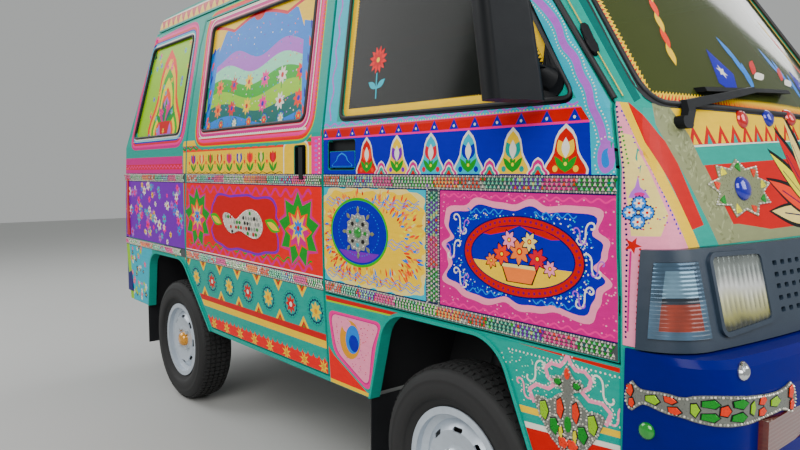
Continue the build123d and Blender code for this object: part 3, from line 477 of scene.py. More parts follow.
def spun(points, cx, cz, turn):
    c, s = math.cos(turn), math.sin(turn)
    return [(cx + x * c - z * s, cz + x * s + z * c) for x, z in points]


def oval(cx, cz, rx, rz, count=26, turn=0.0):
    return spun([(rx * math.cos(t), rz * math.sin(t)) for t in steps(count)], cx, cz, turn)


def star(cx, cz, outer, inner, points, turn=0.0):
    shape = []
    for i in range(2 * points):
        r = inner if i % 2 else outer
        t = turn + math.pi * i / points + math.pi / 2
        shape.append((cx + r * math.cos(t), cz + r * math.sin(t)))
    return shape


def leafShape(cx, cz, length, width, turn, count=10):       # pointed at both ends, starting at cx, cz
    edge = [(length * i / count, width / 2 * math.sin(math.pi * i / count)) for i in range(count + 1)]
    edge += [(x, -z) for x, z in edge[-2:0:-1]]
    return spun(edge, cx, cz, turn)


def dropShape(cx, cz, length, width, turn, count=20):
    edge = [(length / 2 * math.cos(t),
        width / 2 * math.sin(t) * math.sin(t / 2) ** 1.5) for t in steps(count)]
    return spun(edge, cx, cz, turn)


def wavyFrame(cx, cz, rx, rz, depth, waves, square=4.0, seed=0):
    phase = random.Random(seed).random() * 6
    shape = []
    for t in steps(150):
        c, s = math.cos(t), math.sin(t)
        r = (abs(c) ** square + abs(s) ** square) ** (-1 / square)
        r *= 1 + depth * math.sin(waves * t + phase) + depth * 0.5 * math.sin((waves * 2 - 3) * t)
        shape.append((cx + rx * r * c, cz + rz * r * s))
    return shape


def ogee(cx, base, width, height, count=8):
    right = []
    for i in range(count + 1):
        t = i / count
        across = width / 2 * (1 - t) ** 0.6 * (1 + 0.12 * math.sin(3 * math.pi * t))
        right.append((across, base + height * t ** 1.15))
    return [(cx + x, z) for x, z in right] + [(cx - x, z) for x, z in reversed(right[:-1])]


def centreOf(points):
    return sum(p[0] for p in points) / len(points), sum(p[1] for p in points) / len(points)


def grown(points, amount):
    cx, cz = centreOf(points)
    out = []
    for x, z in points:
        d = math.hypot(x - cx, z - cz) or 1
        out.append((x + (x - cx) / d * amount, z + (z - cz) / d * amount))
    return out


def direction(start, end):
    d = math.hypot(end[0] - start[0], end[1] - start[1]) or 1
    return (end[0] - start[0]) / d, (end[1] - start[1]) / d


def stroke(points, width):
    left, right = [], []
    for i, (x, z) in enumerate(points):
        a, b = points[max(i - 1, 0)], points[min(i + 1, len(points) - 1)]
        dx, dz = b[0] - a[0], b[1] - a[1]
        d = math.hypot(dx, dz) or 1
        left.append((x - dz / d * width / 2, z + dx / d * width / 2))
        right.append((x + dz / d * width / 2, z - dx / d * width / 2))
    return left + right[::-1]


def line(art, colour, points, width):       # one quad a stretch, so that a stroke may cross itself
    for (x0, z0), (x1, z1) in zip(points, points[1:]):
        dx, dz = direction((x0, z0), (x1, z1))
        x, z, w = dx * width * 0.2, dz * width * 0.2, width / 2
        art.append((colour, [
            (x0 - x - dz * w, z0 - z + dx * w), (x0 - x + dz * w, z0 - z - dx * w),
            (x1 + x + dz * w, z1 + z - dx * w), (x1 + x - dz * w, z1 + z + dx * w),
        ]))


def curl(art, colour, cx, cz, size, width, side=1, turns=1.0):      # an S whose ends roll up
    points, x, z = [], 0.0, 0.0
    for i in range(23):
        s = i / 11 - 1
        heading = math.pi / 2 + 1.35 * math.pi * turns * s * abs(s) * side * (1 if s > 0 else -1)
        x, z = x + math.cos(heading), z + math.sin(heading)
        points.append((x, z))
    mx, mz = points[11]
    line(art, colour, [(cx + (x - mx) * size / 11, cz + (z - mz) * size / 11) for x, z in points], width)


def inside(points, x, z):
    hit = False
    for (x0, z0), (x1, z1) in zip(points, points[1:] + points[:1]):
        if (z0 > z) != (z1 > z) and x < (x1 - x0) * (z - z0) / (z1 - z0) + x0:
            hit = not hit
    return hit


def pepper(art, chance, outline, count, size, colours):
    xs, zs = [p[0] for p in outline], [p[1] for p in outline]
    for i in range(count):
        x, z = chance.uniform(min(xs), max(xs)), chance.uniform(min(zs), max(zs))
        if inside(outline, x, z):
            art.append((chance.choice(colours), oval(x, z, size, size * 0.8, 5)))


def wave(a, b, z, size, pitch, phase=0.0):
    count = max(4, int(abs(b - a) / pitch * 8))
    turn = 2 * math.pi * (b - a) / pitch
    return [(a + (b - a) * i / count,
        z + size * math.sin(turn * i / count + phase)) for i in range(count + 1)]


def teeth(art, a, b, z, height, pitch, colours):
    count, step = pitches(a, b, pitch)
    for i in range(count):
        tooth = [(a + i * step, z), (a + (i + 1) * step, z), (a + (i + 0.5) * step, z + height)]
        art.append((colours[i % len(colours)], tooth))


def scallops(art, a, b, z, radius, colour, down=1):
    count, step = pitches(a, b, 2 * radius)
    for i in range(count):
        middle = a + (i + 0.5) * step
        turns = [math.pi * k / 8 for k in range(9)]
        half = [(middle + step / 2 * math.cos(t), z - down * radius * math.sin(t)) for t in turns]
        art.append((colour, half))


def dots(art, path, radius, spacing, colour):
    run = 0.0
    for (x0, z0), (x1, z1) in zip(path, path[1:]):
        length = math.hypot(x1 - x0, z1 - z0)
        while run < length:
            t = run / length
            art.append((colour, oval(x0 + (x1 - x0) * t, z0 + (z1 - z0) * t, radius, radius, 6)))
            run += spacing
        run -= length


def flower(art, cx, cz, size, petals, colour, eye, turn=0.0):
    for t in steps(petals):
        art.append((colour, leafShape(cx, cz, size, size * 2.4 / petals + size * 0.12, turn + t, 6)))
    art.append((eye, oval(cx, cz, size * 0.28, size * 0.28, 10)))


def rosette(art, cx, cz, size, petal, eye, ring="navy"):
    art.append((ring, star(cx, cz, size, size * 0.88, 16)))
    art.append(("turquoise", oval(cx, cz, size * 0.82, size * 0.82, 20)))
    flower(art, cx, cz, size * 0.76, 8, petal, eye)


def tulip(art, cx, base, size, petal, heart, stem="green"):
    art.append((stem, stroke([(cx, base), (cx + size * 0.05, base + size * 0.5)], size * 0.08)))
    for side in (-1, 1):
        art.append((stem, leafShape(cx, base, size * 0.6, size * 0.2, math.pi / 2 - side * 0.7)))
        petalTurn = math.pi / 2 - side * 0.45
        art.append((petal, leafShape(cx, base + size * 0.4, size * 0.6, size * 0.34, petalTurn)))
    art.append((heart, leafShape(cx, base + size * 0.4, size * 0.6, size * 0.28, math.pi / 2)))


def rounded(points, radius, count=6):
    out = []
    for i, point in enumerate(points):
        p, a, b = Vector(point), Vector(points[i - 1]), Vector(points[(i + 1) % len(points)])
        reach = min(radius, (a - p).length * 0.45, (b - p).length * 0.45)
        start, end = p + (a - p).normalized() * reach, p + (b - p).normalized() * reach
        for k in range(count + 1):
            t = k / count
            out.append(tuple(start * (1 - t) ** 2 + p * 2 * t * (1 - t) + end * t ** 2))
    return out


def frameRings(art, corners, rings):        # nested bands round an opening, the widest first
    cx, cz = centreOf(corners)
    for reach, colour in rings:
        ring = [(x + math.copysign(reach, x - cx), z + math.copysign(reach, z - cz)) for x, z in corners]
        art.append((colour, rounded(ring, 30 + reach)))


# Panel outlines, aft and height
frontDoor = [(-486, 679), (-484, 804), (-470, 1060), (-449, 1190), (-285, 1420), (-90, 1684), (546, 1684),
    (546, 679)]
slidingDoor = [(559, 407), (559, 1684), (1523, 1684), (1560, 1572), (1584, 1350), (1633, 713), (1633, 407)]
rearQuarter = [(1647, 386), (1647, 713), (1597, 1350), (1572, 1572), (1535, 1696), (559, 1696), (559, 1720),
    (2100, 1720), (2380, 1178), (2430, 640), (2430, 386)]
underDoor = [(-490, 386), (-490, 667), (546, 667), (546, 386)]
noseCorner = [
    (-560, 716), (-497, 716), (-495, 804), (-481, 1060), (-460, 1190), (-296, 1420), (-80, 1716),
        (-150, 1716), (-330, 1480), (-520, 1190),
    (-588, 1184), (-645, 1128), (-696, 1050), (-772, 951), (-803, 909), (-560, 905),
]
frontWheelWay = rounded([(347, 300), (347, 384), (254, 673), (-174, 673), (-283, 384), (-283, 300)], 110,
    10)
rearWheelWay = rounded([(1438, 300), (1438, 384), (1681, 677), (2086, 677), (2174, 384), (2174, 300)], 110,
    10)
doorWindow = [(-368, 1207), (462, 1215), (467, 1655), (-62, 1655)]
slidingWindow = [(668, 1222), (1462, 1222), (1444, 1648), (668, 1648)]
quarterWindow = [(1700, 1222), (2268, 1222), (2110, 1648), (1640, 1648)]
frontHandle, slidingHandle = (382, 523, 1060, 1150), (650, 722, 1022, 1141)
breakHeights = (710, 906, 1178)


# The flank's artwork, lower layers first
crown = {"middle": -366, "foot": 455}
pinkTriangle = [(541, 622), (264, 626), (298, 560), (341, 399), (519, 486)]


def sillArt(art, chance):
    art.append(("turquoise", rect(540, 536, 1650, 679)))
    for i in range(8):
        cx = 611 + i * 156
        rosette(art, cx, 604, 43, *(("yellow", "ochre") if i % 2 == 0 else ("red", "white")))
        dots(art, oval(cx, 604, 47, 47, 24) + [(cx + 47, 604)], 2.4, 10, "teal")
        for z, up in ((679, -1), (536, 1)):
            art += [
                ("yellow", [(cx + 46, z), (cx + 110, z), (cx + 78, z + up * 40)]),
                ("red", [(cx + 60, z), (cx + 96, z), (cx + 78, z + up * 23)]),
                ("green", [(cx + 70, z), (cx + 86, z), (cx + 78, z + up * 11)]),
            ]
    art += [
        ("red", rect(540, 514, 1650, 537)),
        ("yellow", rect(540, 489, 1650, 515)),
        ("turquoise", rect(540, 459, 1650, 490)),
        ("scarlet", rect(540, 396, 1650, 460)),
    ]
    scallops(art, 540, 1650, 462, 17, "turquoise")
    for i in range(9):
        art.append(("yellow", star(583 + i * 117, 424, 31, 11, 8, i)))
        art.append(("ochre", star(583 + i * 117, 424, 15, 6, 8, i)))
    art.append(("turquoise", rect(540, 384, 1650, 397)))


def wingArt(art, chance):                   # under the front door
    art += [
        ("turquoise", rect(-500, 384, 552, 680)),
        ("red", [(180, 680), (552, 680), (552, 652), (180, 656)]),
        ("lime", [(180, 657), (552, 653), (552, 648), (180, 652)]),
        ("pink", rounded(pinkTriangle, 34)),
        ("magenta", grown(rounded(pinkTriangle, 40), -11)),
        ("blush", grown(rounded(pinkTriangle, 40), -16)),
    ]
    pepper(art, chance, grown(pinkTriangle, -30), 150, 2.4, ("rose", "magenta"))
    art += [
        ("ochre", oval(428, 545, 52, 62, 26, 0.35)),
        ("blush", oval(440, 585, 26, 20, 16)),
        ("sky", oval(414, 548, 35, 46, 24, 0.35)),
        ("cobalt", oval(409, 537, 24, 26, 18)),
        ("scarlet", [(519, 478), (341, 392), (332, 384), (552, 384), (552, 536), (545, 500)]),
        ("yellow", [(335, 384), (552, 384), (552, 398), (345, 398)]),
    ]
    # ahead of the wheel
    art += [
        ("red", [(-520, 679), (552, 679), (552, 655), (-100, 672), (-520, 656)]),
        ("yellow", [(-520, 538), (-225, 522), (-225, 505), (-520, 523)]),
        ("turquoise", [(-520, 524), (-225, 506), (-225, 484), (-520, 508)]),
        ("white", [(-520, 509), (-225, 485), (-225, 470), (-520, 497)]),
        ("red", [(-520, 498), (-225, 471), (-225, 384), (-520, 384)]),
    ]
    middle, foot = crown["middle"], crown["foot"]
    ribbon = [(92, 85), (104, 112), (84, 128), (52, 126), (34, 140), (52, 152), (58, 172), (42, 186),
        (20, 184), (8, 196), (0, 212)]
    for side in (-1, 1):
        path = [(middle + side * x, foot + z) for x, z in ribbon]
        line(art, "blush", path, 9)
        dots(art, [(x + side * 9, z + 4) for x, z in path], 2.2, 9, "white")
        curl(art, "white", middle + side * 86, foot + 160, 56, 4.5, side)
        curl(art, "blush", middle + side * 120, foot + 112, 44, 4.5, -side)
    dots(art, [(-490, 648), (-200, 648)], 2.6, 11, "white")
    dots(art, [(-490, 545), (-440, 548)], 2.6, 11, "white")
    pepper(art, chance, [(-488, 545), (-200, 530), (-180, 645), (-488, 645)], 150, 2.2, ("white", "mint"))


def pinkPanelArt(art, chance):              # magenta with a blue cartouche and a bowl of flowers
    art.append(("magenta", rect(-500, 716, 24, 1009)))
    pepper(art, chance, rect(-486, 720, 20, 1004), 520, 2.7, ("pink", "blush"))
    line(art, "pink", wave(-478, 20, 996, 4, 34), 4)
    line(art, "pink", wave(-478, 20, 726, 4, 34), 4)
    wavy = [wavyFrame(-228, 866, 228 - k, 120 - k, 0.05, 11, 6, seed=4) for k in (0, 15)]
    art.append(("blush", wavy[0]))
    art.append(("cobalt", wavy[1]))
    for i in range(300):
        t, r = chance.uniform(0, 6.28), chance.uniform(0.80, 0.96)
        x, z = -228 + 212 * r * math.copysign(abs(math.cos(t)) ** 0.6,
            math.cos(t)), 866 + 104 * r * math.copysign(abs(math.sin(t)) ** 0.6, math.sin(t))
        art.append((chance.choice(("sky", "white", "cyan")), oval(x, z, 2.2, 1.9, 5)))
    for cx, cz, side in ((-408, 930, 1), (-50, 930, -1), (-408, 798, 1), (-50, 798, -1), (-30, 866, 1),
            (-424, 866, -1)):
        curl(art, "white", cx, cz, 52, 4, side, 1.15)
        curl(art, "lilac", cx + side * 14, cz - 6, 34, 3, -side)
    for k, (a, z) in enumerate(((-130, 770), (-330, 770), (-130, 962), (-330, 962))):
        line(art, "sky", wave(a - 55, a + 55, z, 5, 28, k), 3)
    cx, cz = -236, 864
    art.append(("navy", oval(cx, cz, 173, 92, 48)))
    art.append(("red", oval(cx, cz, 169, 89, 48)))
    dots(art, oval(cx, cz, 160, 81, 40), 3.4, 15, "plum")
    art += [
        ("navy", oval(cx, cz, 149, 71, 48)),
        ("cobalt", oval(cx, cz, 146, 68, 48)),
        ("yellow", [p for p in oval(cx, cz, 146, 68, 72) if p[1] < 852]),
    ]
    for side in (-1, 1):                    # red drapes at the top
        art.append(("red", [(cx, 934), (cx + side * 70, 926), (cx + side * 110, 910), (cx + side * 86, 908),
            (cx + side * 40, 918)]))
    art += [
        ("black", grown([(cx - 34, 806), (cx + 34, 806), (cx + 52, 846), (cx - 52, 846)], 4)),
        ("peach", [(cx - 34, 806), (cx + 34, 806), (cx + 52, 846), (cx - 52, 846)]),
        ("cream", [(cx - 50, 838), (cx + 50, 838), (cx + 52, 846), (cx - 52, 846)]),
    ]
    blooms = ((0, 876, 31, "peach"), (-50, 864, 26, "rose"), (52, 866, 26, "orange"),
        (-28, 900, 22, "cream"), (30, 900, 22, "blush"), (-84, 846, 18, "blush"), (84, 848, 18, "peach"))
    for x, z, size, petal in blooms:
        flower(art, cx + x, z, size + 4, 7, "black", "black", 0.3)
        flower(art, cx + x, z, size, 7, petal, "red", 0.3)
        art.append(("lemon", oval(cx + x, z, size * 0.16, size * 0.16, 8)))


def yellowPanelArt(art, chance):            # yellow flames round a blue oval
    art += [
        ("cyan", rect(74, 716, 556, 1009)),
        ("cream", wavyFrame(314, 863, 240, 144, 0.022, 21, 7, seed=8)),
        ("yellow", wavyFrame(314, 863, 230, 134, 0.028, 19, 6, seed=9)),
    ]
    for i in range(340):
        t, r = chance.uniform(0, 6.28), chance.uniform(0.62, 0.99)
        x, z = 314 + 214 * r * math.copysign(abs(math.cos(t)) ** 0.65,
            math.cos(t)), 863 + 124 * r * math.copysign(abs(math.sin(t)) ** 0.65, math.sin(t))
        shade = chance.choice(("orange", "red", "peach", "orange", "sky", "cream", "coral", "lemon",
            "ochre"))
        art.append((shade, leafShape(x, z, chance.uniform(14, 30), 7, t + chance.uniform(-0.5, 0.5), 5)))
    for k in range(9):
        line(art, "sky", wave(100, 530, 735 + (k % 3) * 9 + (k // 3) * 110, 5, 46, k), 2.4)
    art += [
        ("leaf", oval(368, 877, 140, 102, 44)),
        ("cobalt", oval(368, 877, 132, 94, 44)),
        ("violet", [p for p in oval(368, 877, 126, 88, 64) if p[1] < 826]),
    ]
    dots(art, oval(368, 880, 98, 72, 30) + [(466, 880)], 2.2, 12, "sky")


def redPanelArt(art, chance):
    art.append(("scarlet", rect(554, 716, 1640, 1009)))
    line(art, "magenta", wave(620, 1600, 984, 12, 70), 9)
    line(art, "magenta", wave(620, 1600, 740, 12, 70), 9)
    line(art, "green", wave(620, 1600, 757, 9, 70, 1.0), 6)
    art.append(("violet", wavyFrame(1096, 862, 268, 108, 0.035, 9, 5, seed=2)))
    art.append(("red", wavyFrame(1096, 862, 258, 99, 0.035, 9, 5, seed=2)))
    for cx in (700, 1505):
        art += [
            ("magenta", star(cx, 864, 136, 98, 9)),
            ("green", star(cx, 864, 126, 84, 9)),
            ("orange", star(cx, 860, 84, 54, 8)),
            ("magenta", star(cx, 856, 70, 42, 8)),
            ("yellow", star(cx, 870, 62, 28, 8)),
        ]
        flower(art, cx, 868, 32, 8, "sky", "red")
    for cx in (868, 1320):
        art.append(("leaf", leafShape(cx - 50, 850, 110, 44, 0.3)))
        art.append(("yellow", leafShape(cx - 40, 852, 84, 24, 0.3)))
    line(art, "white", [(554, 722), (1640, 722)], 4)


def beltArt(art, chance):                   # the strips above the panels
    art.append(("yellow", rect(617, 1047, 1640, 1140)))
    art.append(("orange", rect(617, 1138, 1640, 1150)))
    line(art, "green", wave(617, 1640, 1153, 6, 60), 9)
    line(art, "red", wave(617, 1640, 1160, 5, 60, 1.0), 5)
    art.append(("yellow", rect(617, 1164, 1640, 1186)))
    for i in range(9):
        cx = 862 + i * 84
        petal = ("red", "green", "orange", "cobalt", "magenta")[i % 5]
        tulip(art, cx, 1056, 74, petal, "cream" if i % 2 else "rose")
        art.append(("orange", star(cx + 42, 1092, 12, 5, 6)))
        dots(art, [(cx + 42, 1062), (cx + 42, 1128)], 2.0, 11, "red")
    line(art, "black", wave(800, 1600, 1052, 2.5, 60), 2.5)
    art.append(("white", rounded(rect(632, 1008, 792, 1156), 30)))
    art.append(("yellow", rounded(rect(638, 1013, 786, 1150), 28)))
    # blue band of arches on the front door
    art.append(("cobalt", rect(-418, 1047, 562, 1157)))
    ridges = ("red", "yellow", "cyan", "cyan", "yellow", "red")
    hearts = ("orange", "violet", "rose", "cobalt", "turquoise", "yellow")
    for i, cx in enumerate((327, 193, 58, -74, -212, -354)):
        wide = 112 if i == 5 else 100
        art.append(("white", ogee(cx, 1049, wide, 105)))
        art.append((ridges[i], ogee(cx, 1049, wide - 11, 96)))
        tulip(art, cx, 1053, 72, hearts[i], "white")
        flower(art, cx, 1070, 15, 6, "green", "lemon")
        for x in (-26, 26):
            art.append((hearts[i], oval(cx + x, 1060, 7, 7, 10)))
    for cx in (260, 126, -8, -143, -283):
        for size, colour in ((60, "white"), (53, "magenta"), (38, "white"), (31, "turquoise"), (16, "red")):
            art.append((colour, ogee(cx, 1048, size, size * 0.62)))
    art.append(("pink", rect(-430, 1153, 562, 1190)))
    art.append(("red", rect(-430, 1158, 562, 1184)))
    for i in range(14):
        x = -390 + i * 70
        art.append(("cobalt", [(x, 1158), (x + 32, 1158), (x + 16, 1184)]))
        art.append(("white", oval(x + 16, 1166, 3.6, 3.6, 8)))
    art.append(("cyan", rect(-430, 1186, 562, 1204)))
    line(art, "lilac", wave(-400, 545, 1195, 4.5, 44), 5)
    dots(art, [(-400, 1188), (545, 1188)], 2.0, 10, "lemon")


vinePath = [(-60, 1672), (-105, 1640), (-118, 1600), (-160, 1568), (-168, 1524), (-212, 1494), (-220, 1452),
    (-264, 1414), (-308, 1366),
            (-327, 1319), (-360, 1290), (-377, 1251), (-401, 1222), (-411, 1187), (-434, 1150),
                (-444, 1110)]


def smooth(points, rounds=2):
    for step in range(rounds):
        out = [points[0]]
        for (x0, z0), (x1, z1) in zip(points, points[1:]):
            out += [(x0 * 0.75 + x1 * 0.25, z0 * 0.75 + z1 * 0.25),
                (x0 * 0.25 + x1 * 0.75, z0 * 0.25 + z1 * 0.75)]
        points = out + [points[-1]]
    return points


def pillarArt(art, chance):
    art.append(("cyan", [(-500, 1047), (-418, 1047), (-410, 1157), (-372, 1207), (-62, 1655), (560, 1655),
        (560, 1700), (-110, 1700), (-470, 1190)]))
    vine = smooth(vinePath)
    line(art, "lilac", vine, 15)
    for side in (-1, 1):
        beside = []
        for (x0, z0), (x1, z1) in zip(vine, vine[1:]):
            d = math.hypot(x1 - x0, z1 - z0) or 1
            beside.append((x0 - side * (z1 - z0) / d * 13, z0 + side * (x1 - x0) / d * 13))
        dots(art, beside, 1.9, 8, "white")
    art.append(("lilac", oval(-449, 1083, 19, 33, 20)))
    art.append(("sky", oval(-449, 1080, 10, 19, 16)))
    dots(art, oval(-449, 1083, 26, 40, 24), 1.9, 8, "white")
    line(art, "lilac", wave(20, 540, 1671, 6, 60), 9)
    dots(art, [(20, 1682), (540, 1682)], 2.0, 11, "white")
    frameRings(art, doorWindow, [(13, "black")])
    art.append(("cyan", rect(480, 1204, 560, 1700)))
    line(art, "lilac", [(520 + 6 * math.sin(z / 14), z) for z in range(1210, 1690, 8)], 7)
    art.append(("pink", rect(556, 1009, 617, 1165)))
    for z in range(1016, 1160, 15):
        art.append(("lilac", oval(590, z, 9, 5, 8)))
        art.append(("white", oval(572, z + 6, 3, 3, 6)))


def windowArt(art, chance):
    rings = [(76, "turquoise"), (66, "lime"), (62, "scarlet"), (54, "orange"), (49, "pink"), (38, "rose"),
        (31, "white"), (26, "magenta"), (14, "blush"), (9, "rose"), (4, "black")]
    frameRings(art, slidingWindow, rings)
    for z in (1190, 1680):
        scallops(art, 650, 1480, z, 8, "white", -1)
    dots(art, [(640, 1236), (640, 1636)], 3.4, 13, "white")
    dots(art, [(612, 1236), (612, 1660)], 2.6, 12, "cobalt")
    art.append(("violet", rect(1648, 716, 2440, 1009)))
    for i in range(90):
        x, z = chance.uniform(1664, 2410), chance.uniform(732, 994)
        flower(art, x, z, chance.uniform(12, 30), 6,
            chance.choice(("pink", "lilac", "sky", "yellow", "white", "cyan")), "red", chance.random())
    rings = [(82, "turquoise"), (60, "magenta"), (48, "pink"), (38, "rose"), (28, "cobalt"), (22, "cyan"),
        (13, "white"), (5, "black")]
    frameRings(art, quarterWindow, rings)
    dots(art, [(1676, 1204), (2280, 1204)], 3.0, 12, "white")
    dots(art, [(1676, 1224), (1622, 1640)], 3.0, 12, "cobalt")
    art.append(("magenta", rect(1650, 1047, 2440, 1124)))
    art.append(("rose", rect(1650, 1066, 2440, 1090)))
    line(art, "pink", wave(1650, 2440, 1078, 6, 40), 5)


def tailSideArt(art, chance):               # behind the rear wheel
    art.append(("cyan", rect(2060, 384, 2450, 713)))
    for i in range(46):
        x, z = chance.uniform(2170, 2400), chance.uniform(400, 690)
        flower(art, x, z, chance.uniform(10, 20), 5, chance.choice(("white", "pink", "navy", "lime")),
            "yellow", chance.random())
    art.append(("lime", rect(2385, 384, 2450, 713)))


def bandArt(art, chance):                   # silver ground under the tiles
    for low, high in ((678, 717), (1008, 1048)):
        art.append(("grout", rect(-520, low, 2450, high)))
    art.append(("grout", rect(22, 716, 75, 1009)))
    for z in (1008.5, 716.5, 1046.5):
        line(art, "navy", [(-520, z), (2450, z)], 3)
    for a in (23, 74):
        line(art, "navy", [(a, 718), (a, 1007)], 3)


def flankArt():
    art, chance = [], random.Random(11)
    parts = (sillArt, wingArt, tailSideArt, pinkPanelArt, yellowPanelArt, redPanelArt, beltArt, pillarArt,
        windowArt, bandArt)
    for part in parts:
        part(art, chance)
    return art


def noseCornerArt():
    chance = random.Random(7)
    art = [("turquoise", rect(-900, 700, 0, 1730))]
    art.append(("blush", [(-452, 1191), (-466, 1190), (-505, 1125), (-597, 956), (-626, 905), (-560, 905),
        (-560, 716), (-490, 716), (-480, 1060)]))
    art.append(("cream", [(-472, 1130), (-496, 1124), (-575, 970), (-560, 930), (-506, 930)]))
    pepper(art, chance, [(-478, 1150), (-500, 1124), (-588, 955), (-504, 930)], 60, 2.2, ("rose", "violet"))
    dots(art, [(-463, 1180), (-484, 1060), (-500, 905), (-503, 730)], 2.6, 10, "navy")
    dots(art, [(-474, 1172), (-510, 1108), (-604, 934)], 2.6, 10, "cobalt")
    dots(art, [(-524, 905), (-524, 740)], 2.6, 11, "red")
    dots(art, [(-474, 1140), (-492, 1070)], 2.3, 9, "green")
    art.append(("lilac", [(-496, 1003), (-536, 1003), (-528, 1014), (-516, 1024), (-511, 1046),
        (-507, 1024), (-500, 1014)]))
    art.append(("magenta", oval(-516, 1010, 10, 4, 10)))
    for x, z in ((-500, 975), (-532, 975), (-516, 993), (-516, 957)):
        art.append(("navy", star(x, z, 16, 13, 14)))
        art.append(("sky", oval(x, z, 12.5, 12.5, 14)))
        flower(art, x, z, 10, 6, "white", "red")
    art.append(("red", star(-510, 912, 17, 7, 5, 0.4)))
    line(art, "magenta", [(-507, 900), (-507, 745)], 4)
    yellow = [(-466, 1190), (-482, 1188), (-530, 1110), (-572, 1041), (-632, 956), (-660, 905), (-626, 905),
        (-597, 957), (-551, 1031), (-506, 1110)]
    art += [
        ("yellow", yellow),
        ("red", [(-482, 1190), (-514, 1165), (-552, 1128), (-588, 1101), (-629, 1030), (-676, 948),
            (-640, 940), (-583, 1030), (-521, 1110)]),
        ("silver", [(-537, 1190), (-592, 1190), (-650, 1128), (-701, 1050), (-777, 951), (-810, 905),
            (-722, 905), (-694, 948), (-637, 1030), (-546, 1145)]),
    ]
    # embossed foil leaves, lighter and darker copies of the silver picked at random: painted highlight and
    # painted shade of the relief
    for i in range(150):
        t, s = chance.random(), chance.uniform(-28, 28)
        x, z = -566 - 200 * t, 1180 - 270 * t
        art.append((chance.choice(("foilLight", "foilDark")),
            leafShape(x + s, z + chance.uniform(-8, 8), 14, 5, chance.uniform(0, 3), 4)))
    # pillar beside the windscreen
    line(art, "teal", [(-500, 1196), (-340, 1432), (-140, 1712)], 16)
    return art


def noseArt():
    chance = random.Random(5)
    art = [("red", rect(-660, 900, 660, 1200))]
    for side in (-1, 1):
        def flip(points):
            return [(side * x, z) for x, z in points]
        art += [
            ("silver", flip([(-620, 1200), (-556, 1200), (-486, 1050), (-420, 905), (-640, 905)])),
            ("yellow", flip([(-580, 1200), (0, 1215), (0, 1134), (-540, 1106)])),
            ("turquoise", flip([(-536, 1108), (0, 1136), (0, 1092), (-514, 1066)])),
        ]
        line(art, "white", flip([(-540, 1104), (-300, 1118), (0, 1133)]), 4)
        for i in range(11):
            a = -528 + i * 48
            base = 1107 + (a + 540) * 0.05
            art.append(("red", flip([(a, base), (a + 44, base + 2), (a + 22, base + 41)])))
            art.append(("turquoise" if i % 2 else "yellow",
                flip([(a + 13, base + 1), (a + 31, base + 2), (a + 22, base + 22)])))
        art.append(("silver", flip([(-640, 905), (-640, 946), (-420, 946), (-300, 930), (0, 934),
            (0, 905)])))
        for k in range(5):
            turn = 0.1 + 0.27 * k
            art.append(("black", flip(leafShape(-12, 940, 280, 58, math.pi - turn, 12))))
            art.append((("cream", "orange", "lemon", "red", "cream")[k],
                flip(leafShape(-20, 942, 258, 42, math.pi - turn, 12))))
            line(art, "navy", flip([(-30, 943), (-30 - 190 * math.cos(turn), 943 + 190 * math.sin(turn))]),
                3)
    return art


def tailArt():
    art = [("turquoise", rect(-700, 380, 700, 1725))]
    art.append(("red", rect(-600, 660, 600, 700)))
    teeth(art, -590, 590, 700, 30, 44, ("yellow", "orange"))
    art += [
        ("magenta", rect(-560, 740, 560, 1150)),
        ("blush", wavyFrame(0, 945, 520, 180, 0.03, 17, 6, seed=6)),
        ("cobalt", wavyFrame(0, 945, 500, 164, 0.03, 17, 6, seed=6)),
    ]
    for cx, petal in ((-330, "yellow"), (0, "red"), (330, "yellow")):
        art.append(("white", star(cx, 945, 122, 108, 16)))
        flower(art, cx, 945, 104, 12, petal, "orange")
        flower(art, cx, 945, 56, 8, "white", "green", 0.3)
    for cx in (-165, 165):
        tulip(art, cx, 850, 170, "pink", "orange", "leaf")
    frameRings(art, [(-512, 1240), (-478, 1628), (478, 1628), (512, 1240)],
        [(56, "yellow"), (44, "red"), (30, "pink"), (14, "black")])
    art.append(("scarlet", rect(-560, 400, 560, 500)))
    for i in range(13):
        art.append(("yellow", star(-510 + i * 85, 450, 30, 12, 8)))
    return art


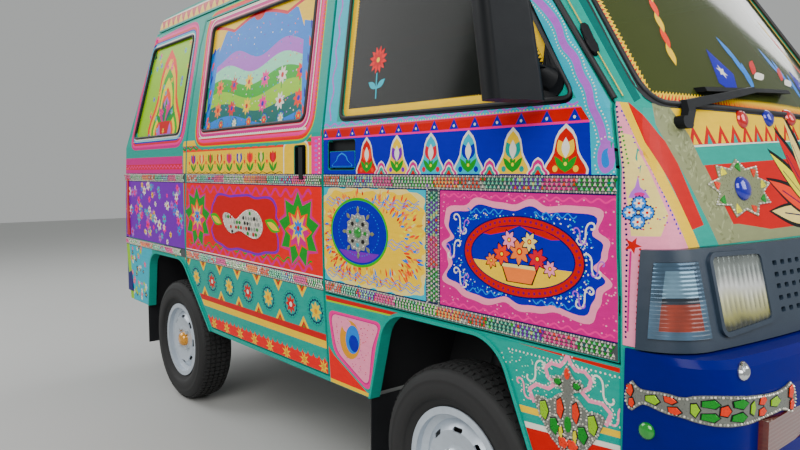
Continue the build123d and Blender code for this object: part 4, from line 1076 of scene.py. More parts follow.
def paneArt():                              # painted panes: a garden behind drapes, and an arch of leaves
    art, chance = [], random.Random(21)
    art.append(("mint", rect(660, 1215, 1470, 1655)))
    art.append(("sky", rect(660, 1470, 1470, 1655)))
    for k, colour in enumerate(("lilac", "mint", "leaf", "lime", "teal", "sky")):
        low = 1500 - k * 50
        ridge = [(x, low + 22 * math.sin(x / (60 + 9 * k) + k * 1.7)) for x in range(660, 1481, 20)]
        art.append((colour, ridge + [(1480, 1215), (660, 1215)]))
    for i in range(12):
        x, z = 730 + (i % 6) * 122, 1300 + (i // 6) * 90
        petal = ("orange", "white", "pink", "yellow", "rose", "peach")[i % 6]
        line(art, "green", [(x, z - 46), (x, z)], 5)
        flower(art, x, z, 34, 8, petal, "red" if i % 2 else "cobalt", i * 0.3)
    for i in range(7):
        rosette(art, 720 + i * 116, 1240, 26, ("orange", "white", "rose")[i % 3], "yellow", "cobalt")
    pepper(art, chance, rect(670, 1230, 1460, 1640), 260, 4,
        ("white", "sky", "peach", "lilac", "violet", "cyan"))
    for cx in (668, 1456):
        side = 1 if cx < 1000 else -1
        art.append(("yellow", [(cx - 10, 1660), (cx + side * 260, 1660), (cx + side * 120, 1610),
            (cx + side * 60, 1520), (cx - 10, 1430)]))
        art.append(("sky", [(cx - 10, 1540), (cx + side * 74, 1560), (cx + side * 60, 1400),
            (cx + side * 30, 1240), (cx - 10, 1215)]))
        for k in range(6):
            art.append((("orange", "cobalt")[k % 2],
                dropShape(cx + side * 26, 1260 + k * 56, 40, 20, 1.2 * side)))
    drape = [(x, 1600 + 36 * abs(math.cos((x - 660) / 128))) for x in range(660, 1481, 10)]
    art += [
        ("rose", drape + [(1480, 1660), (660, 1660)]),
        ("yellow", [(x, z + 12) for x, z in drape] + [(1480, 1664), (660, 1664)]),
        ("red", oval(1066, 1640, 40, 24, 16)),
        ("cobalt", [(660, 1215), (1480, 1215), (1480, 1226), (660, 1226)]),
    ]
    # quarter pane
    art.append(("lime", rect(1620, 1210, 2290, 1660)))
    for k, colour in enumerate(("orange", "yellow", "leaf", "lemon", "coral", "lilac")):
        art.append((colour, ogee(1905, 1226, 400 - 46 * k, 400 - 44 * k)))
    for k in range(7):
        turn = math.pi * (0.14 + 0.12 * k)
        art.append((("green", "magenta", "teal")[k % 3], leafShape(1905, 1270, 130, 34, turn)))
    art.append(("red", [(1860, 1232), (1950, 1232), (1970, 1290), (1840, 1290)]))
    for i in range(40):
        x, z = chance.uniform(1640, 2260), chance.uniform(1226, 1640)
        flower(art, x, z, 15, 5, chance.choice(("sky", "cyan", "pink", "yellow")), "red", chance.random())
    return art


def doorGlassArt():                         # saw-edged yellow border and one painted flower
    art = []
    deep = 26
    art += [
        ("yellow", [(-372, 1204), (466, 1212), (466, 1215 + deep), (-340, 1207 + deep)]),
        ("yellow", [(466, 1212), (470, 1658), (467 - deep, 1658), (462 - deep, 1212)]),
        ("yellow", [(-378, 1204), (-62, 1660), (-26, 1660), (-338, 1204)]),
        ("yellow", [(-66, 1660), (470, 1660), (470, 1655 - deep), (-86, 1655 - deep)]),
    ]
    teeth(art, -330, 436, 1232, 7, 9, ("yellow",))
    teeth(art, -40, 436, 1630, -7, 9, ("yellow",))
    for i in range(46):
        z = 1242 + i * 8.5
        art.append(("yellow", [(442, z), (442, z + 8.5), (434, z + 4)]))
        x = -335 + (z - 1207) * 0.684
        art.append(("yellow", [(x, z), (x + 5.8, z + 8.5), (x + 12, z + 1)]))
    flower(art, 316, 1372, 40, 12, "scarlet", "orange", 0.2)
    flower(art, 316, 1372, 26, 8, "red", "yellow")
    line(art, "cyan", [(316, 1334), (310, 1262)], 5)
    for turn in (0.5, math.pi - 0.6):
        art.append(("cyan", leafShape(312, 1290, 44, 18, turn)))
    return art


def screenArt():                            # flames round the edge and a few painted tokens
    art = []
    corners = [(-612, 1192), (-548, 1674), (548, 1674), (612, 1192)]
    inner = [(-578, 1218), (-520, 1652), (520, 1652), (578, 1218)]
    for i in range(4):
        j = (i + 1) % 4
        a, b, c, d = Vector(corners[i]), Vector(corners[j]), Vector(inner[j]), Vector(inner[i])
        art.append(("yellow", [tuple(a), tuple(b), tuple(c), tuple(d)]))
        count = int((b - a).length / 11)
        for k in range(count):
            s, e = (k + 0.1) / count, (k + 0.9) / count
            mid = (s + e) / 2
            foot, far = d.lerp(c, s), d.lerp(c, e)
            inward = (Vector((0, 1430)) - d.lerp(c, mid)).normalized()
            out = (d.lerp(c, mid) - a.lerp(b, mid)).normalized()
            art.append(("yellow", [tuple(foot), tuple(far), tuple(d.lerp(c, mid) + out * 9)]))
            low = a.lerp(b, s) * 0.55 + foot * 0.45
            high = a.lerp(b, e) * 0.55 + far * 0.45
            art.append((("orange", "red")[k % 2],
                [tuple(low), tuple(high), tuple(d.lerp(c, mid) + out * 1)]))
    for side in (-1, 1):
        for k in range(5):
            x, z = side * (430 - 20 * k), 1290 + 42 * k
            art.append((("yellow", "orange")[k % 2], leafShape(x, z, 64, 22, 1.9 if side > 0 else 1.2)))
        art.append(("cobalt", [(side * 300, 1260), (side * 250, 1230), (side * 200, 1290),
            (side * 250, 1350)]))
        art.append(("white", star(side * 250, 1292, 18, 8, 6)))
        for k in range(3):
            art.append(("sky", leafShape(side * (150 - 14 * k), 1250 + 30 * k, 90, 26, 1.1 + 0.4 * k)))
        art.append(("red", leafShape(side * 90, 1300, 80, 22, 0.6)))
        art.append(("white", leafShape(side * 96, 1290, 84, 20, 0.2)))
    return art


# Two panels get a copy with a few corners moved, and the copy stands for them
def reshape(nodeName, body, move):
    mesh = nodes[nodeName].data.copy()
    for vertex in mesh.vertices:
        x, aft, height = vertex.co.x * 1000, vertex.co.y * 1000 - frontAxle, vertex.co.z * 1000
        side = -1 if x > 0 else 1
        moved = move(x * side, aft, height)
        if moved:
            vertex.co = Vector((moved[0] * side, moved[1] + frontAxle, moved[2])) / 1000
    return handOver(inScene(nodeName + "_reshaped", mesh), body, nodeName)


def tuckArm(x, aft, height):                # the upper hinge arm goes back under the nose corner's skin
    if not (-668 < x < -638 and -524 < aft < -496 and 1064 < height < 1096):
        return None
    half, nose, bow, corner = between(planRows, height)
    cornerX, cornerY = cornerCentre(half, nose, bow, corner)
    reach = math.hypot(x - cornerX, aft - cornerY)
    if reach < corner + 0.4:
        return None
    share = (corner - 5) / reach
    return cornerX + (x - cornerX) * share, cornerY + (aft - cornerY) * share, height


mirrorPlace = {"centre": (-791, -280, 1316), "turn": -19, "half": (72, 112), "face": 31.6, "sailEdge": -283}


def mirrorAxes():
    turn = math.radians(mirrorPlace["turn"])
    return Vector((math.cos(turn), math.sin(turn), 0)), Vector((-math.sin(turn), math.cos(turn), 0))


def headPoint(u, v):                        # the head narrows and leans back towards its top
    share = (v + 125) / 250
    return u * (0.78 - 0.08 * share) + 14 - 34 * share, -117 + (v + 125) * 0.82


def trimMirror(x, aft, height):
    alongFace, outFace = mirrorAxes()
    offset = Vector((x, aft, height)) - Vector(mirrorPlace["centre"])
    u, v, w = offset.dot(alongFace), offset.z, offset.dot(outFace)
    if abs(u) < 84.5 and abs(v) < 125.5 and abs(w) < 31.5 and x < -706:
        u, v = headPoint(u, v)
        return tuple(Vector(mirrorPlace["centre"]) + alongFace * u + outFace * w + Vector((0, 0, v)))
    if x < -674 and math.hypot(aft + 262, height - 1290) < 27:
        return x, aft - 46, height - 42
    if x > -706 and aft > mirrorPlace["sailEdge"]:
        return x, mirrorPlace["sailEdge"], min(height, 1330)
    return None


smoothFront = reshape("front_panel", "body", tuckArm)
for side in ("right", "left"):
    reshape("mirror_" + side, "front_door_" + side, trimMirror)
snapTrees = {}


def snapTree(nodeName):
    if nodeName not in snapTrees:
        mesh = smoothFront.data if nodeName == "front_panel" else nodes[nodeName].data
        mesh.calc_loop_triangles()
        snapTrees[nodeName] = BVHTree.FromPolygons([v.co for v in mesh.vertices],
            [t.vertices for t in mesh.loop_triangles])
    return snapTrees[nodeName]


def counterClockwise(points):
    area = sum(a[0] * b[1] - b[0] * a[1] for a, b in zip(points, points[1:] + points[:1]))
    return points if area > 0 else points[::-1]


def makeFilm(name, body, outline, holes, art, pointAt, node, groundColour="turquoise", lift=0.9, inset=0.0,
        flip=False, grid=None, material=None):
    shapes = [("", outline)] + [("", hole) for hole in holes]
    lows = [min(p[i] for p in outline) for i in (0, 1)]
    highs = [max(p[i] for p in outline) for i in (0, 1)]
    for colour, points in art:
        if len(points) < 3:
            continue
        if max(p[0] for p in points) < lows[0] or min(p[0] for p in points) > highs[0]:
            continue
        if max(p[1] for p in points) < lows[1] or min(p[1] for p in points) > highs[1]:
            continue
        shapes.append((colour, points))
    verts, faces, edges = [], [], []
    for colour, points in shapes:
        start = len(verts)
        verts += [Vector(p) for p in counterClockwise(points)]
        faces.append(list(range(start, len(verts))))
    lines = [((lows[0] - 5, h), (highs[0] + 5, h)) for h in breakHeights if lows[1] < h < highs[1]]
    if grid:
        steps = int((highs[0] - lows[0]) / grid) + 1
        lines += [((lows[0] + i * grid, lows[1] - 5),
            (lows[0] + i * grid, highs[1] + 5)) for i in range(steps + 1)]
        rows = int((highs[1] - lows[1]) / 60) + 1
        lines += [((lows[0] - 5, lows[1] + i * 60),
            (highs[0] + 5, lows[1] + i * 60)) for i in range(rows + 1)]
    for a, b in lines:
        edges.append((len(verts), len(verts) + 1))
        verts += [Vector(a), Vector(b)]
    flat, _, cells, _, _, owners = delaunay_2d_cdt(verts, edges, faces, 0, 0.001, True)
    holeIds = set(range(1, 1 + len(holes)))
    kept, colours = [], []
    for cell, owned in zip(cells, owners):
        if 0 not in owned or holeIds & set(owned):
            continue
        top = max(owned)
        if top <= len(holes) and groundColour is None:
            continue
        kept.append(cell)
        colours.append(paintOf[shapes[top][0] if top > len(holes) else groundColour])
    used = sorted({i for cell in kept for i in cell})
    number = {old: new for new, old in enumerate(used)}
    tree = snapTree(node)
    spots = []
    for i in used:
        point = onSurface(pointAt, flat[i][0], flat[i][1], 0, inset)
        if flip:
            point.x = -point.x
        near = tree.find_nearest(point)
        out = onSurface(pointAt, flat[i][0], flat[i][1], 1, inset) - onSurface(pointAt, flat[i][0],
            flat[i][1], 0, inset)
        if flip:
            out.x = -out.x
        if near[0] is not None and near[3] < 0.006:
            point = near[0]
        spots.append(point + out.normalized() * lift / 1000)
    mesh = bpy.data.meshes.new(name)
    mesh.from_pydata(spots, [], [[number[i] for i in cell] for cell in kept])
    outward = 0.0
    for poly in mesh.polygons:
        outward += poly.area * poly.normal.dot(Vector((poly.center.x, poly.center.y - 0.05, 0)))
    if outward < 0:
        mesh.flip_normals()
    layer = mesh.attributes.new("paint", "FLOAT_COLOR", "FACE")
    layer.data.foreach_set("color", [c for colour in colours for c in colour])
    mesh.materials.append(material or painted)
    return handOver(inScene(name, mesh), body)


def boxAround(points, amount):
    return rounded(rect(points[0] - amount, points[2] - amount, points[1] + amount, points[3] + amount), 12)


def paneHole(points):
    return rounded(points, 30)


flank, cornerPaint, panes, doorPane = flankArt(), noseCornerArt(), paneArt(), doorGlassArt()
for side, flip in sides:
    door, sliding = "door_front_" + side, "sliding_door_" + side
    makeFilm("paint_" + door, "front_door_" + side, frontDoor,
        [paneHole(doorWindow), boxAround(frontHandle, 1)], flank, flankPoint, door, flip=flip, grid=40)
    holes = [paneHole(slidingWindow), grown(rearWheelWay, 34), boxAround(slidingHandle, 1)]
    makeFilm("paint_" + sliding, "body", slidingDoor, holes, flank, flankPoint, sliding, flip=flip)
    makeFilm("paint_flank_rear_" + side, "body", rearQuarter, [rearWheelWay, paneHole(quarterWindow)],
        flank, flankPoint, "side_frame_" + side, flip=flip)
    makeFilm("paint_flank_front_" + side, "body", underDoor, [frontWheelWay], flank, flankPoint,
        "side_frame_" + side, flip=flip)
    makeFilm("paint_nose_corner_" + side, "body", noseCorner, [], cornerPaint, flankPoint, "front_panel",
        lift=1.6, flip=flip, grid=16)
    makeFilm("paint_pane_sliding_" + side, "body", grown(paneHole(slidingWindow), -2), [], panes,
        flankPoint, "side_windows", groundColour="sky", lift=0.5, inset=7, flip=flip, grid=80)
    makeFilm("paint_pane_quarter_" + side, "body", grown(paneHole(quarterWindow), -2), [], panes,
        flankPoint, "side_windows", groundColour="lime", lift=0.5, inset=7, flip=flip, grid=80)
    makeFilm("paint_door_glass_" + side, "front_door_" + side, grown(paneHole(doorWindow), -2), [],
        doorPane, flankPoint, "door_glass_" + side, groundColour=None, lift=0.4, inset=7, flip=flip)
print("stage: flanks painted")
noseOutline = [(-428, 909), (428, 909), (450, 951), (501, 1050), (532, 1128), (580, 1181), (300, 1188),
    (-300, 1188), (-580, 1181), (-532, 1128), (-501, 1050), (-450, 951)]
makeFilm("paint_nose", "body", noseOutline, [], noseArt(), nosePoint, "front_panel", lift=1.0, grid=50)
screenEdge = rounded([(-608, 1196), (-545, 1670), (545, 1670), (608, 1196)], 60)
makeFilm("paint_windscreen", "body", screenEdge, [], screenArt(), nosePoint, "windscreen",
    groundColour=None, lift=0.4, inset=7, grid=50)
tailgatePaint = [(-588, 650), (-582, 1178), (-542, 1708), (542, 1708), (582, 1178), (588, 650)]
makeFilm("paint_tailgate", "rear_door", tailgatePaint,
    [paneHole([(-512, 1240), (-478, 1628), (478, 1628), (512, 1240)])], tailArt(), tailPoint, "tailgate",
        grid=60)
makeFilm("paint_tail_low", "body", rect(-536, 388, 536, 632), [], tailArt(), tailPoint, "rear_panel",
    grid=60)
print("stage: nose, glass and tail painted")


# Lines that beads, tiles and cords follow, each point with the direction that leaves the surface
trailStep = 12.0


class Trail:
    def __init__(self):
        self.verts, self.edges, self.outs = [], [], []

    def follow(self, pointAt, points, lift, flip=False, closed=False):
        if closed:
            points = points + [points[0]]
        dense = [points[0]]
        for (x0, z0), (x1, z1) in zip(points, points[1:]):
            count = max(1, int(math.hypot(x1 - x0, z1 - z0) / trailStep))
            dense += [(x0 + (x1 - x0) * i / count, z0 + (z1 - z0) * i / count) for i in range(1, count + 1)]
        start = len(self.verts)
        for a, z in dense:
            place, out = placed(pointAt, a, z, lift, flip)
            self.verts.append(place)
            self.outs.append(out)
        self.edges += [(i, i + 1) for i in range(start, len(self.verts) - 1)]

    def space(self, points, outs):          # points already in the frame, in metres
        start = len(self.verts)
        self.verts += [Vector(p) for p in points]
        self.outs += [Vector(o) for o in outs]
        self.edges += [(i, i + 1) for i in range(start, len(self.verts) - 1)]

    def mesh(self, name):
        made = bpy.data.meshes.new(name)
        made.from_pydata(self.verts, self.edges, [])
        layer = made.attributes.new("out", "FLOAT_VECTOR", "POINT")
        layer.data.foreach_set("vector", [c for out in self.outs for c in out])
        return made


def placed(pointAt, a, z, lift, flip=False):
    low, high = onSurface(pointAt, a, z, lift), onSurface(pointAt, a, z, lift + 1)
    out = (high - low).normalized()
    if flip:
        low.x, out.x = -low.x, -out.x
    return low, out


# Geometry Nodes
def newTree(name, inputs):
    tree = bpy.data.node_groups.new(name, "GeometryNodeTree")
    tree.interface.new_socket(name="Geometry", in_out="INPUT", socket_type="NodeSocketGeometry")
    tree.interface.new_socket(name="Geometry", in_out="OUTPUT", socket_type="NodeSocketGeometry")
    for label, kind, value in inputs:
        socket = tree.interface.new_socket(name=label, in_out="INPUT", socket_type="NodeSocket" + kind)
        if value is not None:
            socket.default_value = value
    graph = Graph(tree)
    entry = tree.nodes.new("NodeGroupInput")
    return graph, {socket.name: Wire(graph, socket) for socket in entry.outputs if socket.name}


def endTree(graph, shape, finish, soft=False):
    whole = graph.add("GeometryNodeRealizeInstances", None, {0: shape})
    if soft:
        whole = graph.add("GeometryNodeSetShadeSmooth", None, {"Geometry": whole, "Shade Smooth": True})
    dressed = graph.add("GeometryNodeSetMaterial", None, {"Geometry": whole, "Material": finish})
    out = graph.tree.nodes.new("NodeGroupOutput")
    graph.tree.links.new(dressed.socket, out.inputs[0])
    return graph.tree


def facingOut(graph, angle):                # standing on the surface, turned along its line
    out = graph.add("GeometryNodeInputNamedAttribute", {"data_type": "FLOAT_VECTOR"}, {"Name": "out"})
    tangent = graph.add("GeometryNodeInputTangent")
    upright = graph.add("FunctionNodeAlignRotationToVector", {"axis": "Z"}, {"Vector": out})
    axes = {"axis": "X", "pivot_axis": "Z"}
    facing = graph.add("FunctionNodeAlignRotationToVector", axes, {"Rotation": upright, "Vector": tangent})
    spin = graph.add("FunctionNodeAxisAngleToRotation", None, {"Axis": (0, 0, 1), "Angle": angle})
    return graph.add("FunctionNodeRotateRotation", {"rotation_space": "LOCAL"},
        {"Rotation": facing, "Rotate By": spin})


def rowTree(name, palette, finish):         # small pieces set along lines, coloured in stretches
    inputs = [
        ("Spacing", "Float", 0.008), ("Size", "Vector", (0.004, 0.004, 0.002)), ("Sides", "Int", 3),
            ("Top", "Float", 0.7),
        ("Turn", "Float", 0.0), ("Alternate", "Float", math.pi), ("Stretch", "Float", 0.1),
            ("Seed", "Int", 3),
    ]
    graph, wires = newTree(name, inputs)
    curve = graph.add("GeometryNodeMeshToCurve", None, {0: wires["Geometry"]})
    even = graph.add("GeometryNodeResampleCurve", {"mode": "LENGTH"},
        {"Curve": curve, "Length": wires["Spacing"]})
    index = graph.add("GeometryNodeInputIndex")
    odd = index.maths("MODULO", index, 2.0)
    run = graph.add("GeometryNodeSplineParameter", None, None, 1)
    block = (run / wires["Stretch"]).maths("FLOOR", run / wires["Stretch"], 0.0)
    stray = graph.add("FunctionNodeRandomValue", {"data_type": "FLOAT"}, {"Seed": wires["Seed"]}, 1)
    turn = block * 3.0 + stray.maths("GREATER_THAN", stray, 0.86) * 2.0
    share = (turn.maths("MODULO", turn, float(len(palette))) * 2.0 + odd + 0.5) / (2.0 * len(palette))
    stops = [(k / (2 * len(palette)), paintOf[colour]) for k,
        colour in enumerate(c for pair in palette for c in pair)]
    tint = graph.add("ShaderNodeValToRGB", {"stops": stops, "spread": "CONSTANT"}, {0: share})
    marked = graph.add("GeometryNodeStoreNamedAttribute", {"data_type": "FLOAT_COLOR", "domain": "POINT"},
        {"Geometry": even, "Name": "paint", "Value": tint})
    turned = facingOut(graph, odd * wires["Alternate"] + wires["Turn"])
    shape = graph.add("GeometryNodeMeshCone", {"fill_type": "NGON"},
        {"Vertices": wires["Sides"], "Radius Top": wires["Top"], "Radius Bottom": 1.0, "Depth": 1.0})
    sockets = {"Points": marked, "Instance": shape, "Rotation": turned, "Scale": wires["Size"]}
    return endTree(graph, graph.add("GeometryNodeInstanceOnPoints", None, sockets), finish)


def blockTree():                            # tread blocks round a tyre
    graph, wires = newTree("treadBlocks",
        [("Count", "Int", 72), ("Size", "Vector", (0.015, 0.017, 0.007)), ("Slant", "Float", 0.3)])
    curve = graph.add("GeometryNodeMeshToCurve", None, {0: wires["Geometry"]})
    even = graph.add("GeometryNodeResampleCurve", {"mode": "COUNT"},
        {"Curve": curve, "Count": wires["Count"]})
    index = graph.add("GeometryNodeInputIndex")
    odd = index.maths("MODULO", index, 2.0)
    turned = facingOut(graph, (odd * 2.0 - 1.0) * wires["Slant"])
    shape = graph.add("GeometryNodeMeshCube", None, {"Size": wires["Size"]})
    sockets = {"Points": even, "Instance": shape, "Rotation": turned}
    return endTree(graph, graph.add("GeometryNodeInstanceOnPoints", None, sockets), tyreRubber)


def cordTree(name, finish):
    graph, wires = newTree(name, [("Radius", "Float", 0.004)])
    curve = graph.add("GeometryNodeMeshToCurve", None, {0: wires["Geometry"]})
    ring = graph.add("GeometryNodeCurvePrimitiveCircle", {"mode": "RADIUS"},
        {"Resolution": 8, "Radius": wires["Radius"]})
    swept = graph.add("GeometryNodeCurveToMesh", None,
        {"Curve": curve, "Profile Curve": ring, "Fill Caps": True})
    return endTree(graph, swept, finish, True)


def evaluated(piece):
    graph = bpy.context.evaluated_depsgraph_get()
    return bpy.data.meshes.new_from_object(piece.evaluated_get(graph), preserve_all_data_layers=True,
        depsgraph=graph)


def grow(tree, name, body, mesh, values):
    piece = inScene(name, mesh)
    modifier = piece.modifiers.new("grow", "NODES")
    modifier.node_group = tree
    for item in tree.interface.items_tree:
        if item.in_out == "INPUT" and item.name in values:
            modifier[item.identifier] = values[item.name]
    bpy.context.view_layer.update()
    made = evaluated(piece)
    piece.modifiers.clear()
    piece.data = made
    return handOver(piece, body)


# Raised pieces gathered into one mesh for each body
class Heap:
    def __init__(self):
        self.verts, self.faces, self.colours, self.kinds = [], [], [], []

    def rings(self, rows, out, colour,
            kind=0):         # rows of points from the foot up, closed by the last
        if (rows[-1][1] - rows[-1][0]).cross(rows[-1][2] - rows[-1][1]).dot(out) < 0:
            rows = [row[::-1] for row in rows]
        self.stack(rows, colour, kind)

    def stack(self, rows, colour, kind):
        start, n = len(self.verts), len(rows[0])
        for row in rows:
            self.verts += row
        for k in range(len(rows) - 1):
            for i in range(n):
                j = (i + 1) % n
                a = start + k * n
                self.add((a + i, a + j, a + n + j, a + n + i), colour, kind)
        self.add(tuple(range(start + (len(rows) - 1) * n, start + len(rows) * n)), colour, kind)

    def add(self, face, colour, kind):
        self.faces.append(face)
        self.colours.append(paintOf[colour])
        self.kinds.append(kind)

    def plate(self, pointAt, outline, height, colour, bevel=1.2, foot=0.9, flip=False, kind=0):
        rows = []
        for points, up in ((outline, foot), (grown(outline, -bevel * 0.2), height * 0.7 + foot * 0.3),
                (grown(outline, -bevel), height)):
            rows.append([placed(pointAt, a, z, up, flip)[0] for a, z in points])
        area = sum(a[0] * b[1] - b[0] * a[1] for a, b in zip(outline, outline[1:] + outline[:1]))
        cx, cz = sum(p[0] for p in outline) / len(outline), sum(p[1] for p in outline) / len(outline)
        here, out = placed(pointAt, cx, cz, 0, flip)
        one, two = placed(pointAt, cx + 1, cz, 0, flip)[0] - here, placed(pointAt, cx, cz + 1, 0,
            flip)[0] - here
        if (one.cross(two).dot(out) > 0) != (area > 0):
            rows = [row[::-1] for row in rows]
        self.stack(rows, colour, kind)

    def dome(self, pointAt, cx, cz, radius, height, colour, flip=False, kind=1, sides=18, foot=0.6):
        rows = []
        for k in range(5):
            t = k * math.pi / 2 / 5.4
            rows.append([placed(pointAt, a, z, foot + height * math.sin(t), flip)[0] for a,
                z in oval(cx, cz, radius * math.cos(t), radius * math.cos(t), sides)])
        self.rings(rows, placed(pointAt, cx, cz, 0, flip)[1], colour, kind)

    def turned(self, centre, axis, profile, colour, kind=0,
            sides=24):        # profile: out along the axis, radius
        one = axis.orthogonal().normalized()
        two = axis.cross(one)
        rows = []
        for along, radius in profile:
            ring = [one * math.cos(t) + two * math.sin(t) for t in steps(sides)]
            rows.append([centre + axis * along / 1000 + way * radius / 1000 for way in ring])
        self.rings(rows, axis, colour, kind)

    def box(self, lows, highs, colour, flip=False, kind=2):
        corners = []
        for i in range(8):
            x, y, z = [(lows, highs)[(i >> k) & 1][k] for k in range(3)]
            corners.append(Vector((-x if flip else x, y + frontAxle, z)) / 1000)
        start = len(self.verts)
        self.verts += corners
        for face in ((0, 2, 3, 1), (4, 5, 7, 6), (0, 1, 5, 4), (2, 6, 7, 3), (0, 4, 6, 2), (1, 3, 7, 5)):
            self.add(tuple(start + i for i in (face[::-1] if flip else face)), colour, kind)

    def finish(self, name, body, slotName, materials):
        mesh = bpy.data.meshes.new(name)
        mesh.from_pydata(self.verts, [], self.faces)
        layer = mesh.attributes.new("paint", "FLOAT_COLOR", "FACE")
        layer.data.foreach_set("color", [c for colour in self.colours for c in colour])
        for material in materials:
            mesh.materials.append(material)
        mesh.polygons.foreach_set("material_index", self.kinds)
        mesh.polygons.foreach_set("use_smooth", [kind == 1 for kind in self.kinds])
        return handOver(inScene(name, mesh), body)


stoneFinishes = [tapeFoil, gem("gemGlass"), blackPlastic, painted, chrome, rimSilver]
crownHalf = [(0, -3), (38, 6), (66, 42), (92, 92), (84, 106), (60, 98), (42, 106), (30, 120), (12, 128),
    (13, 136), (38, 146), (42, 158), (22, 160), (10, 172), (0, 196)]
crownStones = [("lime", 62, 76, 12, 25), ("green", 36, 48, 14, 20), ("orange", 12, 16, 13, 15),
    ("orange", 20, 92, 10, 24), ("lemon", 18, 40, 6, 16), ("green", 24, 150, 9, 8)]
garland = [
    (-520, 657), (-508, 613), (-521, 590), (-537, 606), (-550, 614), (-591, 606), (-625, 607), (-645, 602),
        (-689, 597), (-760, 599), (-822, 603),
    (-857, 606), (-888, 588), (-899, 618), (-884, 658), (-854, 648), (-819, 644), (-753, 650), (-691, 655),
        (-645, 652), (-623, 643), (-590, 646), (-550, 640), (-536, 642),
]
garlandStones = [
    ("orange", -520, 634, 7, 11), ("orange", -524, 610, 6, 9), ("lime", -568, 626, 15, 8),
        ("orange", -601, 634, 12, 7), ("orange", -610, 616, 13, 6), ("lime", -643, 626, 7, 12),
    ("green", -670, 638, 17, 8), ("green", -670, 614, 17, 8), ("orange", -694, 627, 11, 11),
        ("green", -722, 639, 17, 8), ("green", -722, 614, 17, 8), ("lime", -752, 627, 8, 12),
    ("orange", -782, 636, 11, 8), ("orange", -782, 615, 11, 8), ("lime", -822, 626, 16, 9),
        ("orange", -878, 636, 8, 12), ("orange", -882, 610, 7, 10),
]
tilePalette = [("white", "green"), ("coral", "cream"), ("mint", "teal"), ("magenta", "blush"),
    ("white", "leaf"), ("orange", "pewter"), ("mint", "violet")]


def chip(cx, cz, rx, rz, seed):             # a broken mirror chip
    chance = random.Random(seed)
    return [(cx + rx * math.cos(t) * chance.uniform(0.8, 1.15),
        cz + rz * math.sin(t) * chance.uniform(0.8,
            1.15)) for t in [math.pi * (0.2 + k / 2.5) for k in range(5)]]


def smoothRing(points, rounds=2):
    for step in range(rounds):
        out = []
        for (x0, z0), (x1, z1) in zip(points, points[1:] + points[:1]):
            out += [(x0 * 0.75 + x1 * 0.25, z0 * 0.75 + z1 * 0.25),
                (x0 * 0.25 + x1 * 0.75, z0 * 0.25 + z1 * 0.75)]
        points = out
    return points


def stone(heap, pointAt, colour, cx, cz, rx, rz, seed, base, flip):
    heap.plate(pointAt, grown(chip(cx, cz, rx, rz, seed), 2.6), base + 0.5, "black", 0.4, base - 0.4,
        flip=flip)
    heap.plate(pointAt, chip(cx, cz, rx, rz, seed), base + 1.9, colour, 0.8, base, flip=flip)


